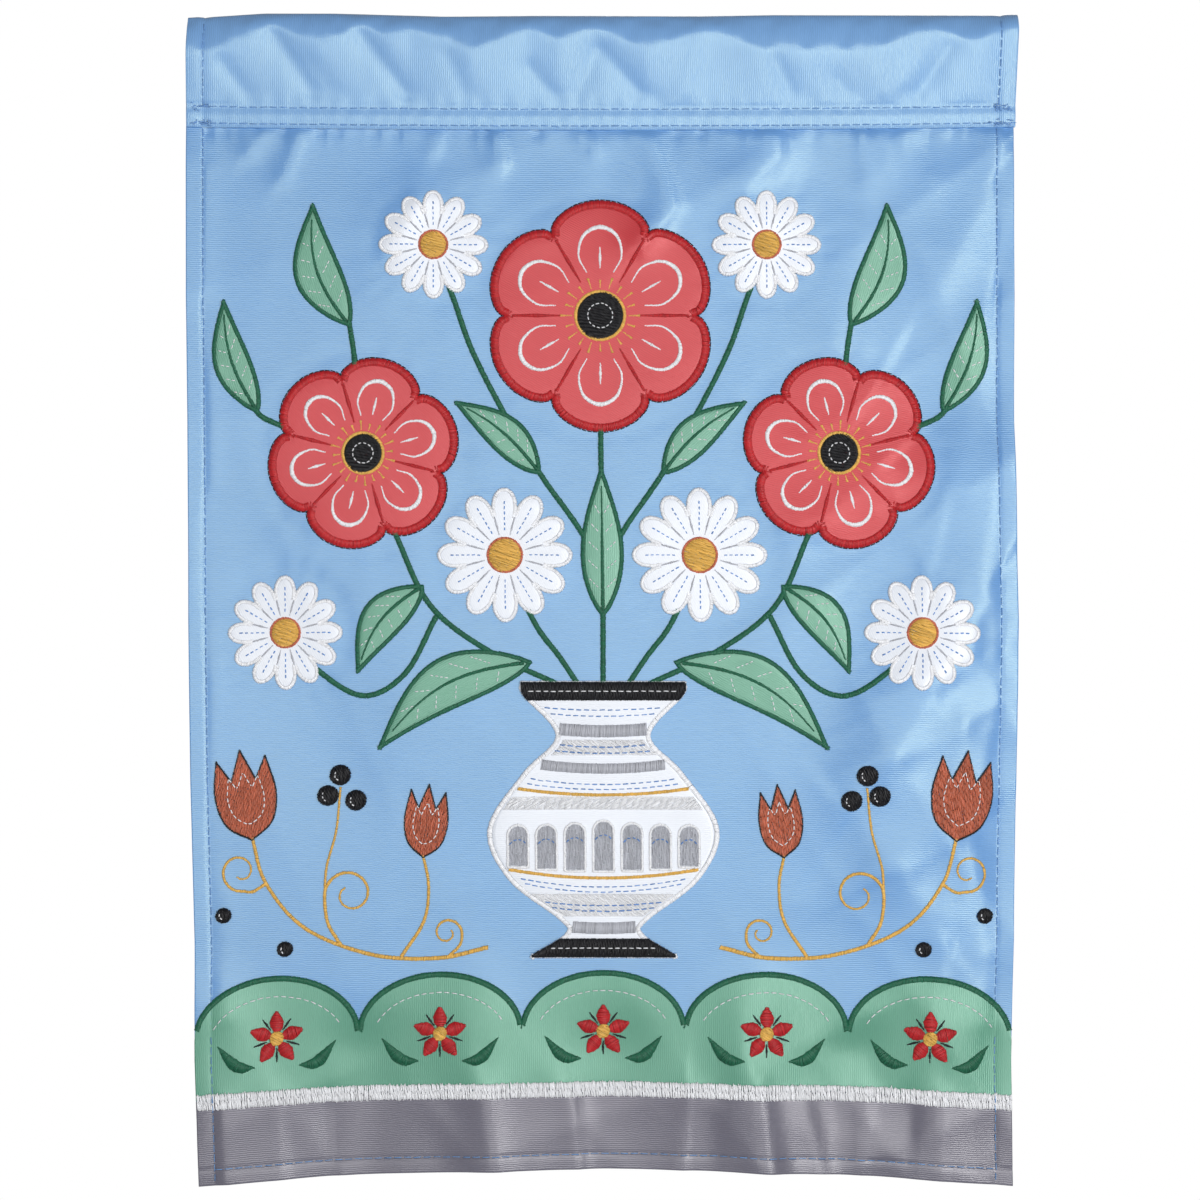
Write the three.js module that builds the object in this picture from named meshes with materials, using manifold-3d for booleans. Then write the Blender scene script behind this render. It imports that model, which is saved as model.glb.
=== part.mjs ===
// A garden flag of sky-blue polyester cloth, hanging by its rod sleeve, with a sewn-on flower
// picture cut from red, white, green and grey cloth. The flag faces -Y and is 18 in long.
// Millimetres, +Z up. The origin is where a rod bears: the middle of the sleeve's length,
// under its crown. Flat places on the cloth are given as x across and down from the top fold.

import Module from "manifold-3d";
import * as THREE from "three";
import { mergeVertices } from "three/addons/utils/BufferGeometryUtils.js";

// Driving dimensions
const flag = { width: 323, drop: 457 };
const cloth = 1;
const gap = 0.3;
const hem = { width: 6.4, turnedLayer: 0.6 };
const sleeve = { rodRadius: 6, upperRow: 36.5, lowerEdge: 44.5 };
const grid = { columns: 20, rows: 23, hemStep: 0.4 };

// Where the side edges of the hanging cloth run, from the seam to the lower corners
const sideEdges = [
  { down: 37, left: -162.4, right: 160.1 },
  { down: 112, left: -162, right: 160.1 },
  { down: 159, left: -161.3, right: 159.7 },
  { down: 237, left: -160.9, right: 161.3 },
  { down: 299, left: -160.1, right: 160.5 },
  { down: 362, left: -158.5, right: 159.7 },
  { down: 408, left: -158.5, right: 158.9 },
  { down: 457, left: -157, right: 159.7 },
];

// The crown of the sleeve rises and dips a little along the rod
const crownRises = [
  { x: -161.5, rise: -1.9 },
  { x: -132, rise: 0 },
  { x: -105, rise: 0 },
  { x: -62, rise: -1.2 },
  { x: -22, rise: -0.9 },
  { x: 38, rise: -1.1 },
  { x: 66, rise: -0.6 },
  { x: 161.5, rise: -0.8 },
];

// The main folds of the hanging cloth: soft ridges, or troughs where the height is negative
const folds = [
  { x1: 155, down1: 182, x2: 106, down2: 300, halfWidth: 22, height: 3.4 },
  { x1: 158, down1: 262, x2: 112, down2: 338, halfWidth: 16, height: 2.4 },
  { x1: 108, down1: 70, x2: 140, down2: 150, halfWidth: 20, height: -2 },
  { x1: -138, down1: 212, x2: -106, down2: 292, halfWidth: 28, height: -2 },
  { x1: -68, down1: 66, x2: -80, down2: 104, halfWidth: 16, height: 1.4 },
  { x1: -150, down1: 392, x2: -146, down2: 462, halfWidth: 14, height: 2.8 },
  { x1: -95, down1: 410, x2: -101, down2: 462, halfWidth: 18, height: -2.6 },
  { x1: -50, down1: 392, x2: -42, down2: 462, halfWidth: 16, height: 2.6 },
  { x1: 5, down1: 412, x2: 1, down2: 462, halfWidth: 18, height: -2.4 },
  { x1: 58, down1: 392, x2: 62, down2: 462, halfWidth: 15, height: 3.2 },
  { x1: 100, down1: 410, x2: 97, down2: 462, halfWidth: 14, height: -2.4 },
  { x1: 138, down1: 396, x2: 142, down2: 462, halfWidth: 13, height: 2.4 },
];
const billow = 4;
const hemArch = 6.2;
const seamSag = 1.2;
const foldFade = { from: 46, to: 76 };

// Sizes of the sewn-on pieces
const border = { seam: 424, scallops: 5, valley: 400, peak: 377 };
const poppyShape = { petals: 6, notch: 0.2, points: 42 };
const daisyShape = { petals: 12, notch: 0.4, points: 48 };
const poppies = [
  { name: "poppy_top", x: 0, down: 118, radius: 45, turn: 0 },
  { name: "poppy_left", x: -93, down: 172, radius: 37, turn: 0.25 },
  { name: "poppy_right", x: 93, down: 172, radius: 37, turn: -0.25 },
];
const daisies = [
  { name: "daisy_upper", x: 65, down: 90, radius: 21 },
  { name: "daisy_lower", x: 38, down: 212, radius: 26 },
  { name: "daisy_side", x: 124, down: 242, radius: 22 },
];
const leaves = [
  { name: "leaf_upper", x1: 24, down1: 180, x2: 57, down2: 152, halfWidth: 7, bend: -3 },
  { name: "leaf_top", x1: 98, down1: 122, x2: 112, down2: 74, halfWidth: 9, bend: 6 },
  { name: "leaf_outer", x1: 134, down1: 156, x2: 147, down2: 112, halfWidth: 7, bend: 4 },
  { name: "leaf_side", x1: 70, down1: 224, x2: 96, down2: 258, halfWidth: 8, bend: -5 },
  { name: "leaf_vase", x1: 28, down1: 254, x2: 88, down2: 288, halfWidth: 10, bend: -9 },
];
const middleLeaf = { name: "leaf_middle", x1: 0, down1: 236, x2: 0, down2: 178, halfWidth: 8, bend: 0 };
const leafPoints = 9;
const vaseProfile = [
  { down: 262, half: 32 },
  { down: 267, half: 31 },
  { down: 283, half: 18 },
  { down: 298, half: 31 },
  { down: 320, half: 45 },
  { down: 340, half: 37 },
  { down: 356, half: 17 },
  { down: 362, half: 15 },
  { down: 371, half: 29 },
];
const vasePoints = 20;

const colours = {
  sky: 0x8eb6e1,
  grey: 0x84828f,
  green: 0x76a793,
  red: 0xd25a5b,
  white: 0xf3f6fc,
};

const wasm = await Module();
wasm.setup();

// The value of one column of a table between its rows
function between(rows, key, column, at) {
  const next = rows.findIndex((row) => row[key] >= at);
  if (next === 0) return rows[0][column];
  if (next < 0) return rows[rows.length - 1][column];
  const [low, high] = [rows[next - 1], rows[next]];
  return THREE.MathUtils.lerp(low[column], high[column], (at - low[key]) / (high[key] - low[key]));
}

// How far the cloth stands forward of the seam's plane at a flat place
function relief(x, down) {
  let forward = billow * Math.sin((Math.PI * (down - sleeve.lowerEdge)) / (flag.drop - sleeve.lowerEdge));
  for (const fold of folds) {
    const along = new THREE.Vector2(fold.x2 - fold.x1, fold.down2 - fold.down1);
    const from = new THREE.Vector2(x - fold.x1, down - fold.down1);
    const share = THREE.MathUtils.clamp(from.dot(along) / along.lengthSq(), 0, 1);
    const off = from.addScaledVector(along, -share).length() / fold.halfWidth;
    forward += fold.height * Math.exp(-off * off);
  }
  return forward * THREE.MathUtils.smoothstep(down, foldFade.from, foldFade.to);
}

// Where a flat place of the ground cloth hangs, on the cloth's middle surface
function hung(x, down) {
  const across = x / flag.width + 0.5;
  const left = between(sideEdges, "down", "left", down);
  const right = between(sideEdges, "down", "right", down);
  const middle = 1 - (2 * across - 1) ** 2;
  const lift = hemArch * middle * (down / flag.drop) ** 3;
  const sag = seamSag * middle * (1 - THREE.MathUtils.smoothstep(down, sleeve.lowerEdge, 160));
  const sideways = THREE.MathUtils.lerp(left, right, across);
  return new THREE.Vector3(sideways, -relief(x, down), cloth - down + lift - sag);
}

// Evenly spaced lines from one value to another
function evenly(from, to, steps) {
  return Array.from({ length: steps + 1 }, (_, i) => THREE.MathUtils.lerp(from, to, i / steps));
}

const side = flag.width / 2;
const hemLine = side - hem.width;
const columns = [
  -side,
  -hemLine - grid.hemStep,
  ...evenly(-hemLine, hemLine, grid.columns),
  hemLine + grid.hemStep,
  side,
];
const rows = [
  sleeve.upperRow + 0.5,
  ...evenly(sleeve.lowerEdge, flag.drop - hem.width - grid.hemStep, grid.rows),
  flag.drop - hem.width,
  flag.drop,
];

// A closed sheet on the hanging cloth, between two distances forward of its middle surface
function sheetGeometry(frontAt, backAt) {
  const plane = new THREE.PlaneGeometry(1, 1, columns.length - 1, rows.length - 1);
  const count = columns.length * rows.length;
  const places = [];
  for (const forwardAt of [frontAt, backAt]) {
    for (const down of rows) {
      for (const x of columns) {
        const point = hung(x, down);
        places.push(point.x, point.y - forwardAt(x, down), point.z);
      }
    }
  }
  const front = Array.from(plane.getIndex().array);
  const index = [...front];
  for (let i = 0; i < front.length; i += 3) {
    index.push(front[i] + count, front[i + 2] + count, front[i + 1] + count);
  }
  const rim = [];
  for (let c = 0; c < columns.length - 1; c += 1) rim.push(c);
  for (let r = 0; r < rows.length - 1; r += 1) rim.push(r * columns.length + columns.length - 1);
  for (let c = columns.length - 1; c > 0; c -= 1) rim.push((rows.length - 1) * columns.length + c);
  for (let r = rows.length - 1; r > 0; r -= 1) rim.push(r * columns.length);
  rim.forEach((from, i) => {
    const to = rim[(i + 1) % rim.length];
    index.push(from, to, to + count, from, to + count, from + count);
  });
  const geometry = new THREE.BufferGeometry();
  geometry.setAttribute("position", new THREE.Float32BufferAttribute(places, 3));
  geometry.setIndex(index);
  return geometry;
}

function solidOf(geometry) {
  geometry.deleteAttribute("normal");
  geometry.deleteAttribute("uv");
  const merged = mergeVertices(geometry, 1e-4);
  const vertProperties = new Float32Array(merged.getAttribute("position").array);
  const triVerts = new Uint32Array(merged.getIndex().array);
  return new wasm.Manifold(new wasm.Mesh({ numProp: 3, vertProperties, triVerts }));
}

function geometryOf(solid) {
  const mesh = solid.getMesh();
  const geometry = new THREE.BufferGeometry();
  geometry.setAttribute("position", new THREE.Float32BufferAttribute(mesh.vertProperties, 3));
  geometry.setIndex(Array.from(mesh.triVerts));
  return geometry;
}

function piece(name, geometry, colour) {
  const material = new THREE.MeshStandardMaterial({ color: colour, roughness: 0.55, metalness: 0 });
  const mesh = new THREE.Mesh(geometry, material);
  mesh.name = name;
  return mesh;
}

// The ground cloth: side and lower hems are turned to the back as one more layer
function panel() {
  const inHem = (x, down) => Math.abs(x) > hemLine || down > flag.drop - hem.width - grid.hemStep / 2;
  const back = (x, down) => -cloth / 2 - (inHem(x, down) ? hem.turnedLayer : 0);
  const belowSeam = (x, down) => (down > sleeve.lowerEdge ? back(x, down) : -cloth / 2);
  return piece("ground_cloth", sheetGeometry(() => cloth / 2, belowSeam), colours.sky);
}

// The rod sleeve: a strip folded over the rod, its two legs sewn down on both sides of the panel
function rodSleeve() {
  const inner = cloth / 2 + gap;
  const outer = inner + cloth;
  const low = cloth - sleeve.lowerEdge;
  const seam = cloth - sleeve.upperRow;
  const centre = -sleeve.rodRadius;
  const section = new THREE.Shape();
  section.moveTo(-outer, low);
  section.lineTo(-outer, seam);
  section.absarc(0, centre, sleeve.rodRadius + cloth, Math.PI, 0, true);
  section.lineTo(outer, seam);
  section.lineTo(outer, low);
  section.lineTo(inner, low);
  section.lineTo(inner, seam);
  section.absarc(0, centre, sleeve.rodRadius, 0, Math.PI, false);
  section.lineTo(-inner, seam);
  section.lineTo(-inner, low);
  const steps = 12;
  const along = { depth: flag.width, steps, curveSegments: 7, bevelEnabled: false };
  const strip = new THREE.ExtrudeGeometry(section, along);
  const seamShift = -0.7;
  const place = strip.getAttribute("position");
  for (let i = 0; i < place.count; i += 1) {
    const x = place.getZ(i) - side;
    const height = THREE.MathUtils.clamp((place.getY(i) - seam) / (centre - seam), 0, 1);
    const sag = seamSag * (1 - (x / side) ** 2) * (1 - height);
    const rise = between(crownRises, "x", "rise", x) * height;
    place.setXYZ(i, x + seamShift * (1 - height), place.getX(i), place.getY(i) + rise - sag);
  }
  return piece("rod_sleeve", strip, colours.sky);
}

// A sewn-on piece: the layer in front of the ground cloth, cut to a flat outline
const layer = solidOf(sheetGeometry(() => cloth * 1.5 + gap, () => cloth / 2 + gap));
const reachAway = 30;

function sewnOn(name, outline, colour) {
  const shape = new THREE.Shape(
    outline.map(({ x, down }) => {
      const point = hung(x, down);
      return new THREE.Vector2(point.x, point.z);
    }),
  );
  const cutter = new THREE.ExtrudeGeometry(shape, { depth: 2 * reachAway, bevelEnabled: false });
  cutter.rotateX(Math.PI / 2);
  cutter.translate(0, reachAway, 0);
  return piece(name, geometryOf(layer.intersect(solidOf(cutter))), colour);
}

// A flower's outline: round petals with a notch between them
function flowerOutline({ x, down, radius, turn = 0 }, { petals, notch, points }) {
  return Array.from({ length: points }, (_, i) => {
    const angle = (2 * Math.PI * i) / points;
    const lobe = Math.abs(Math.cos((petals * angle) / 2)) ** 0.5;
    const reach = radius * (1 - notch + notch * lobe);
    return { x: x + reach * Math.sin(angle + turn), down: down - reach * Math.cos(angle + turn) };
  });
}

// A leaf's outline: two bowed sides from the base to the tip
function leafOutline({ x1, down1, x2, down2, halfWidth, bend }) {
  const length = Math.hypot(x2 - x1, down2 - down1);
  const [ax, ad] = [(x2 - x1) / length, (down2 - down1) / length];
  const edge = (share, sideways) => {
    const off = sideways * halfWidth * Math.sin(Math.PI * share ** 0.8) + bend * Math.sin(Math.PI * share);
    return { x: x1 + ax * length * share - ad * off, down: down1 + ad * length * share + ax * off };
  };
  const shares = evenly(0, 1, leafPoints);
  const right = shares.slice(0, -1).map((share) => edge(share, 1));
  const left = shares.slice(1).reverse().map((share) => edge(share, -1));
  return [...right, ...left];
}

function vaseOutline() {
  const curve = new THREE.SplineCurve(vaseProfile.map((row) => new THREE.Vector2(row.half, row.down)));
  const right = curve.getPoints(vasePoints).map((point) => ({ x: point.x, down: point.y }));
  return [...right, ...right.map(({ x, down }) => ({ x: -x, down })).reverse()];
}

// The green border: a row of half-round scallops on a straight lower edge
function scallopOutline() {
  const width = flag.width / border.scallops;
  const perScallop = 8;
  const past = side + 8;
  const top = evenly(-side, side, border.scallops * perScallop).map((x) => {
    const within = Math.abs(((x + side) / width) % 1 - 0.5) * 2;
    const rise = (border.valley - border.peak) * Math.sqrt(Math.max(0, 1 - within ** 2));
    return { x, down: border.valley - rise };
  });
  const lower = evenly(side, -side, perScallop).map((x) => ({ x, down: border.seam - gap }));
  return [
    { x: -past, down: border.valley },
    ...top,
    { x: past, down: border.valley },
    { x: past, down: border.seam - gap },
    ...lower,
    { x: -past, down: border.seam - gap },
  ];
}

function greyOutline() {
  const past = side + 8;
  const upper = evenly(-past, past, 10).map((x) => ({ x, down: border.seam }));
  return [...upper, { x: past, down: flag.drop + 20 }, { x: -past, down: flag.drop + 20 }];
}

function mirrored(outline) {
  return outline.map(({ x, down }) => ({ x: -x, down })).reverse();
}

const model = new THREE.Group();
model.add(panel());
model.add(rodSleeve());
model.add(sewnOn("grey_border", greyOutline(), colours.grey));
model.add(sewnOn("green_scallops", scallopOutline(), colours.green));
model.add(sewnOn("vase", vaseOutline(), colours.white));
for (const poppy of poppies) {
  model.add(sewnOn(poppy.name, flowerOutline(poppy, poppyShape), colours.red));
}
for (const daisy of daisies) {
  const outline = flowerOutline(daisy, daisyShape);
  model.add(sewnOn(`${daisy.name}_right`, outline, colours.white));
  model.add(sewnOn(`${daisy.name}_left`, mirrored(outline), colours.white));
}
for (const leaf of leaves) {
  const outline = leafOutline(leaf);
  model.add(sewnOn(`${leaf.name}_right`, outline, colours.green));
  model.add(sewnOn(`${leaf.name}_left`, mirrored(outline), colours.green));
}
model.add(sewnOn(middleLeaf.name, leafOutline(middleLeaf), colours.green));

export default model;
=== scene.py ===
import math

import bpy
import numpy as np
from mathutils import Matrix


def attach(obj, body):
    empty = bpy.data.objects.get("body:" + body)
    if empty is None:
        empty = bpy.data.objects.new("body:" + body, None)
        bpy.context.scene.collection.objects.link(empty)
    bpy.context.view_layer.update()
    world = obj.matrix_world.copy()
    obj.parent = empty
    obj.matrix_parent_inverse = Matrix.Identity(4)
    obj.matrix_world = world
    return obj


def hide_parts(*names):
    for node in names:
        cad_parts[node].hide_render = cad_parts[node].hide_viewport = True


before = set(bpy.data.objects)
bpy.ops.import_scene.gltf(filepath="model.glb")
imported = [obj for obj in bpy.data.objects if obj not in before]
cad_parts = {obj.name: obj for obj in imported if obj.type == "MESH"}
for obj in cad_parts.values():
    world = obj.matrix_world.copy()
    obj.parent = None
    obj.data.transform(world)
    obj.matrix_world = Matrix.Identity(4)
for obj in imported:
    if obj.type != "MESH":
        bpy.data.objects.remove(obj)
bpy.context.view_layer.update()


# Ground cloth
# One piece of light blue ribbed polyester. Its sides and lower edge are turned to the back in
# narrow hems, its upper edge in the sleeve seam, and it hangs from there in soft folds and creases.
# Flat places on the cloth are in millimetres: x from the middle, down from the top fold.

MM = 0.001
FLAG_WIDTH = 323.0
FLAG_DROP = 457.0
SIDE = FLAG_WIDTH / 2
SEAM_DOWN = 44.5
GROUND_TOP = 37.0
GROUND_PITCH = 2.1
HEM_WIDTH = 7.4
HEM_ROW = 6.6
LOWER_HEM_ROW = 6.3
CLOTH_FRONT = 0.5
CLOTH_BACK = 0.1
HEM_BACK = -0.8
SEAM_BACK = -0.7
HEM_RISE = 0.3
HEM_FLARE = 1.1
HEM_ARCH = 6.2
ROW_PULL = 0.32
ROW_HALF_WIDTH = 0.8
SEAM_SAG = 1.2
BILLOW = 4.0
CREASE_DEPTH = 1.3
CREASE_LEAN = 2.2
TUCK_DEPTH = 1.4

# down from the top, then the places of the left and right edge
SIDE_EDGES = np.array([
    (37, -162.4, 160.1),
    (112, -162.0, 160.1),
    (159, -161.3, 159.7),
    (237, -160.9, 161.3),
    (299, -160.1, 160.5),
    (362, -158.5, 159.7),
    (408, -158.5, 158.9),
    (457, -157.0, 159.7),
])

# x and down of both ends, half width, height: the main folds, as in the solid frame
FOLDS = [
    (155, 182, 106, 300, 22, 3.4),
    (158, 262, 112, 338, 16, 2.4),
    (92, 62, 132, 150, 20, -2),
    (-138, 212, -106, 292, 28, -2),
    (-68, 66, -80, 104, 16, 1.4),
    (-150, 392, -146, 462, 14, 2.8),
    (-95, 410, -101, 462, 18, -2.6),
    (-50, 392, -42, 462, 16, 2.6),
    (5, 412, 1, 462, 18, -2.4),
    (58, 392, 62, 462, 15, 3.2),
    (100, 410, 97, 462, 14, -2.4),
    (138, 396, 142, 462, 13, 2.4),
]

# The same columns for the small creases, most of them under the seam and on the right
CREASES = [
    (-130, 43, -136, 54, 2.6, 1.1),
    (-115, 43, -123, 64, 2.8, 1.1),
    (-65, 43, -64, 52, 2.6, 1.0),
    (-40, 43, -38, 58, 2.8, 1.3),
    (-6, 43, -1, 53, 2.6, 1.1),
    (102, 45, 105, 64, 5, 1.2),
    (153, 45, 155, 62, 4, 0.8),
    (128, 112, 150, 72, 12, 1.7),
    (85, 198, 105, 182, 7, 1.2),
    (77, 206, 105, 194, 6, 0.8),
    (150, 128, 138, 182, 12, 1.6),
    (149, 229, 108, 296, 12, 2.2),
    (112, 292, 140, 279, 8, 1.5),
    (126, 262, 152, 250, 8, 1.2),
    (118, 334, 136, 322, 9, 1.6),
    (96, 312, 128, 352, 11, 1.3),
    (140, 352, 150, 300, 9, 1.3),
    (147, 330, 150, 392, 7, 1.2),
    (60, 250, 84, 232, 9, 0.9),
    (-68, 67, -77, 86, 5, 0.9),
    (-18, 84, -24, 90, 6, 0.4),
    (-153, 60, -154, 108, 3, 0.7),
    (-151, 139, -151, 184, 3, 0.6),
    (-150, 236, -152, 300, 3, 0.5),
    (-148, 344, -150, 392, 4, 0.5),
    (-151, 424, -150, 458, 4, 1.1),
    (-131, 424, -129, 458, 4, 1.0),
    (-108, 430, -110, 458, 4, -0.9),
    (-47, 424, -43, 458, 5, 1.6),
    (-14, 424, -11, 458, 4, 1.3),
    (34, 424, 30, 458, 4, 1.2),
    (61, 420, 66, 458, 6, 2.1),
    (79, 428, 86, 458, 5, 1.1),
    (104, 424, 101, 458, 4, 1.3),
    (122, 430, 120, 458, 4, -0.9),
    (133, 424, 132, 458, 4, 1.1),
]

# half width, height, then x and down along the creases that bend
BENT_CREASES = [
    (4.8, 2.0, (17, 43), (24, 61), (28, 75), (16, 91)),
    (7.4, 2.0, (66, 43), (69, 54), (55, 68), (60, 82)),
    (5.0, 0.9, (117, 43), (120, 55), (128, 64)),
]

# Direction in degrees, wave length, phase, warp: the cloth's slight crumple
CRUMPLES = [
    (14, 74, 0.4, 20),
    (63, 52, 1.9, 13),
    (112, 88, 2.6, 24),
    (151, 46, 4.2, 11),
]
CRUMPLE_HEIGHT = 1.15

# x, down, radius: round pieces whose stitching draws the cloth in
PULLS = [
    (0, 118, 45),
    (-93, 172, 37),
    (93, 172, 37),
    (65, 90, 21),
    (-65, 90, 21),
    (38, 212, 26),
    (-38, 212, 26),
    (124, 242, 22),
    (-124, 242, 22),
]


def smooth(value, start, end):
    """0 before start and 1 after end, with a soft change between them."""
    share = np.clip((np.asarray(value, float) - start) / (end - start), 0, 1)
    return share * share * (3 - 2 * share)


def distance_to_line(x, down, x1, down1, x2, down2):
    along_x, along_down = x2 - x1, down2 - down1
    share = ((x - x1) * along_x + (down - down1) * along_down) / (along_x**2 + along_down**2)
    share = np.clip(share, 0, 1)
    return np.hypot(x - x1 - share * along_x, down - down1 - share * along_down)


def bell(away, half):
    """1 at a place, falling off softly around it."""
    return np.exp(-((away / half) ** 2))


def crease(away, half, height):
    """A ridge that is round at its top and runs out softly."""
    return height * np.exp(0.4 - np.sqrt((away / half) ** 2 * 1.6 + 0.16))


def from_crease(x, down, places):
    """Distance from a crease through some places, shorter on its left, where it runs out slowly."""
    nearest = np.full(x.shape, 1e3)
    on_left = np.zeros(x.shape)
    for (x1, down1), (x2, down2) in zip(places, places[1:]):
        away = distance_to_line(x, down, x1, down1, x2, down2)
        aside = (x - x1) * (down2 - down1) - (down - down1) * (x2 - x1)
        aside = aside * np.sign(down2 - down1) / math.hypot(x2 - x1, down2 - down1)
        on_left = np.where(away < nearest, smooth(-aside, -1, 3), on_left)
        nearest = np.minimum(nearest, away)
    return nearest / (1 + (CREASE_LEAN - 1) * on_left)


def crumple(x, down):
    """Low crossing creases, strongest at the right, under the seam and along the lower edge."""
    height = np.zeros_like(x)
    for degrees, length, phase, warp in CRUMPLES:
        turn = math.radians(degrees)
        ahead = x * math.cos(turn) + down * math.sin(turn)
        aside = down * math.cos(turn) - x * math.sin(turn)
        ahead = ahead + warp * np.sin(aside / (1.7 * length) + 2 * phase)
        height += (1 - np.abs(np.sin(math.pi * ahead / length + phase))) ** 2
    right = smooth(x, 30, 140)
    under_seam = 1 - smooth(down, 50, 96)
    low = smooth(down, 405, 440)
    share = 0.14 + 0.42 * right + 0.22 * under_seam * smooth(x, -150, 20) + 0.35 * low
    return CRUMPLE_HEIGHT * share * (height - 1)


def relief(x, down):
    """How far the cloth stands forward of the seam's plane."""
    forward = BILLOW * np.sin(math.pi * (down - SEAM_DOWN) / (FLAG_DROP - SEAM_DOWN))
    for x1, down1, x2, down2, half, height in FOLDS:
        forward = forward + height * bell(distance_to_line(x, down, x1, down1, x2, down2), half)
    forward = forward * smooth(down, 46, 76)
    fine = 0
    for x1, down1, x2, down2, half, height in CREASES:
        fine = fine + crease(from_crease(x, down, [(x1, down1), (x2, down2)]), half, height)
    for half, height, *places in BENT_CREASES:
        fine = fine + crease(from_crease(x, down, places), half, height)
    fine = CREASE_DEPTH * fine * smooth(down, 43, 46.5) + crumple(x, down) * smooth(down, 43.5, 50)
    for middle, middle_down, radius in PULLS:
        out = np.hypot(x - middle, down - middle_down) - radius
        turn = np.arctan2(down - middle_down, x - middle)
        fine = fine - 0.25 * bell(out - 2.5, 3.5)
        ripple = 0.16 * np.sin(17 * turn + radius + 1.5 * np.sin(5 * turn))
        fine = fine + ripple * smooth(out, 0, 2) * np.exp(-np.maximum(out, 0) / 6)
    tuck = np.sin(x * 0.71 + 2.3 * np.sin(x * 0.13)) + 0.6 * np.sin(x * 1.27 + 1) - 0.2
    below_seam = np.exp(-np.maximum(down - 45, 0) / 3) * smooth(down, 43, 45)
    return forward + fine - TUCK_DEPTH * np.maximum(tuck, 0) * below_seam


def hem_relief(x, down):
    """The hems flare forward, their turned layer lifts them and their stitch rows pull them in."""
    from_side = SIDE - np.abs(x)
    from_foot = FLAG_DROP - down
    pull = bell(from_side - HEM_ROW, ROW_HALF_WIDTH) * (0.75 + 0.25 * np.sin(down * 1.61))
    pull = np.maximum(pull, bell(from_foot - LOWER_HEM_ROW, ROW_HALF_WIDTH))
    turned = np.maximum(1 - smooth(from_side, 4, 8), 1 - smooth(from_foot, 4, 8))
    flare = HEM_FLARE * (1 - smooth(from_side, -1, 8)) * smooth(down, 46, 62)
    return (HEM_RISE * turned - ROW_PULL * pull) * smooth(down, 43, 46) + flare


def hung(x, down, forward=0.0):
    """Where a flat place hangs, and what lies that far in front of the cloth's middle, in metres."""
    x, down = np.broadcast_arrays(np.asarray(x, float), np.asarray(down, float))
    across = x / FLAG_WIDTH + 0.5
    left = np.interp(down, SIDE_EDGES[:, 0], SIDE_EDGES[:, 1])
    right = np.interp(down, SIDE_EDGES[:, 0], SIDE_EDGES[:, 2])
    middle = 1 - (2 * across - 1) ** 2
    lift = HEM_ARCH * middle * (down / FLAG_DROP) ** 3
    sag = SEAM_SAG * middle * (1 - smooth(down, SEAM_DOWN, 160))
    sideways = left + (right - left) * across
    depth = relief(x, down) + hem_relief(x, down) + forward
    return MM * np.stack([sideways, -depth, 1 - down + lift - sag], axis=-1)


def stops(low, high, pitch, extra=()):
    """Evenly spaced values with some more at named places, in order."""
    count = max(1, round((high - low) / pitch))
    values = list(np.linspace(low, high, count + 1))
    kept = [v for v in values if all(abs(v - e) > 0.35 for e in extra)]
    return np.array(sorted(kept + list(extra)))


def grid_faces(rows, columns):
    """The quads of a grid whose places run along its rows."""
    corner = np.arange(rows * columns).reshape(rows, columns)
    quads = np.stack([corner[:-1, :-1], corner[:-1, 1:], corner[1:, 1:], corner[1:, :-1]], -1)
    return [tuple(q) for q in quads.reshape(-1, 4).tolist()]


def flat_grid(columns, rows):
    """The flat places of a grid and its quads."""
    x, down = np.meshgrid(columns, rows)
    return np.column_stack([x.ravel(), down.ravel()]), grid_faces(len(rows), len(columns))


def closed_sheet(name, flat, faces, front, back, place=hung, grain=0.0):
    """A closed sheet of cloth: flat places, one layer's faces, and how far forward its sides are."""
    count = len(flat)
    near, far = place(flat[:, 0], flat[:, 1], front), place(flat[:, 0], flat[:, 1], back)
    one, two, three = (near[i] for i in faces[len(faces) // 2][:3])
    if np.dot(np.cross(two - one, three - one), near[0] - far[0]) < 0:
        faces = [face[::-1] for face in faces]
    edges = {(a, b) for face in faces for a, b in zip(face, face[1:] + face[:1])}
    rim = [(b, a, a + count, b + count) for a, b in sorted(edges) if (b, a) not in edges]
    behind = [tuple(i + count for i in reversed(face)) for face in faces]
    mesh = bpy.data.meshes.new(name)
    mesh.from_pydata(np.vstack([near, far]).tolist(), [], faces + behind + rim)
    corners = np.empty(len(mesh.loops), dtype=np.int32)
    mesh.loops.foreach_get("vertex_index", corners)
    turned = np.column_stack([
        flat[:, 0] * math.cos(grain) + flat[:, 1] * math.sin(grain),
        flat[:, 1] * math.cos(grain) - flat[:, 0] * math.sin(grain),
    ])
    uv = mesh.uv_layers.new(name="flat_place_mm")
    uv.data.foreach_set("uv", np.vstack([turned, turned])[corners].ravel())
    mesh.shade_smooth()
    piece = bpy.data.objects.new(name, mesh)
    bpy.context.scene.collection.objects.link(piece)
    return piece


def fit(piece, material, node):
    """Gives a cut piece its cloth, hangs it under the root, and hides the node of the frame that it stands
    for.
    """
    piece.data.materials.append(material)
    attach(piece, "root")
    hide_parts(node)


def dye(red, green, blue):
    """A dye given as it looks, 0 to 255, as the linear colour that the shader wants."""
    shares = [v / 255 for v in (red, green, blue)]
    linear = [v / 12.92 if v <= 0.04045 else ((v + 0.055) / 1.055) ** 2.4 for v in shares]
    return (*linear, 1.0)


def new_node(tree, kind, **settings):
    made = tree.nodes.new(kind)
    for key, value in settings.items():
        setattr(made, key, value)
    return made


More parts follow.
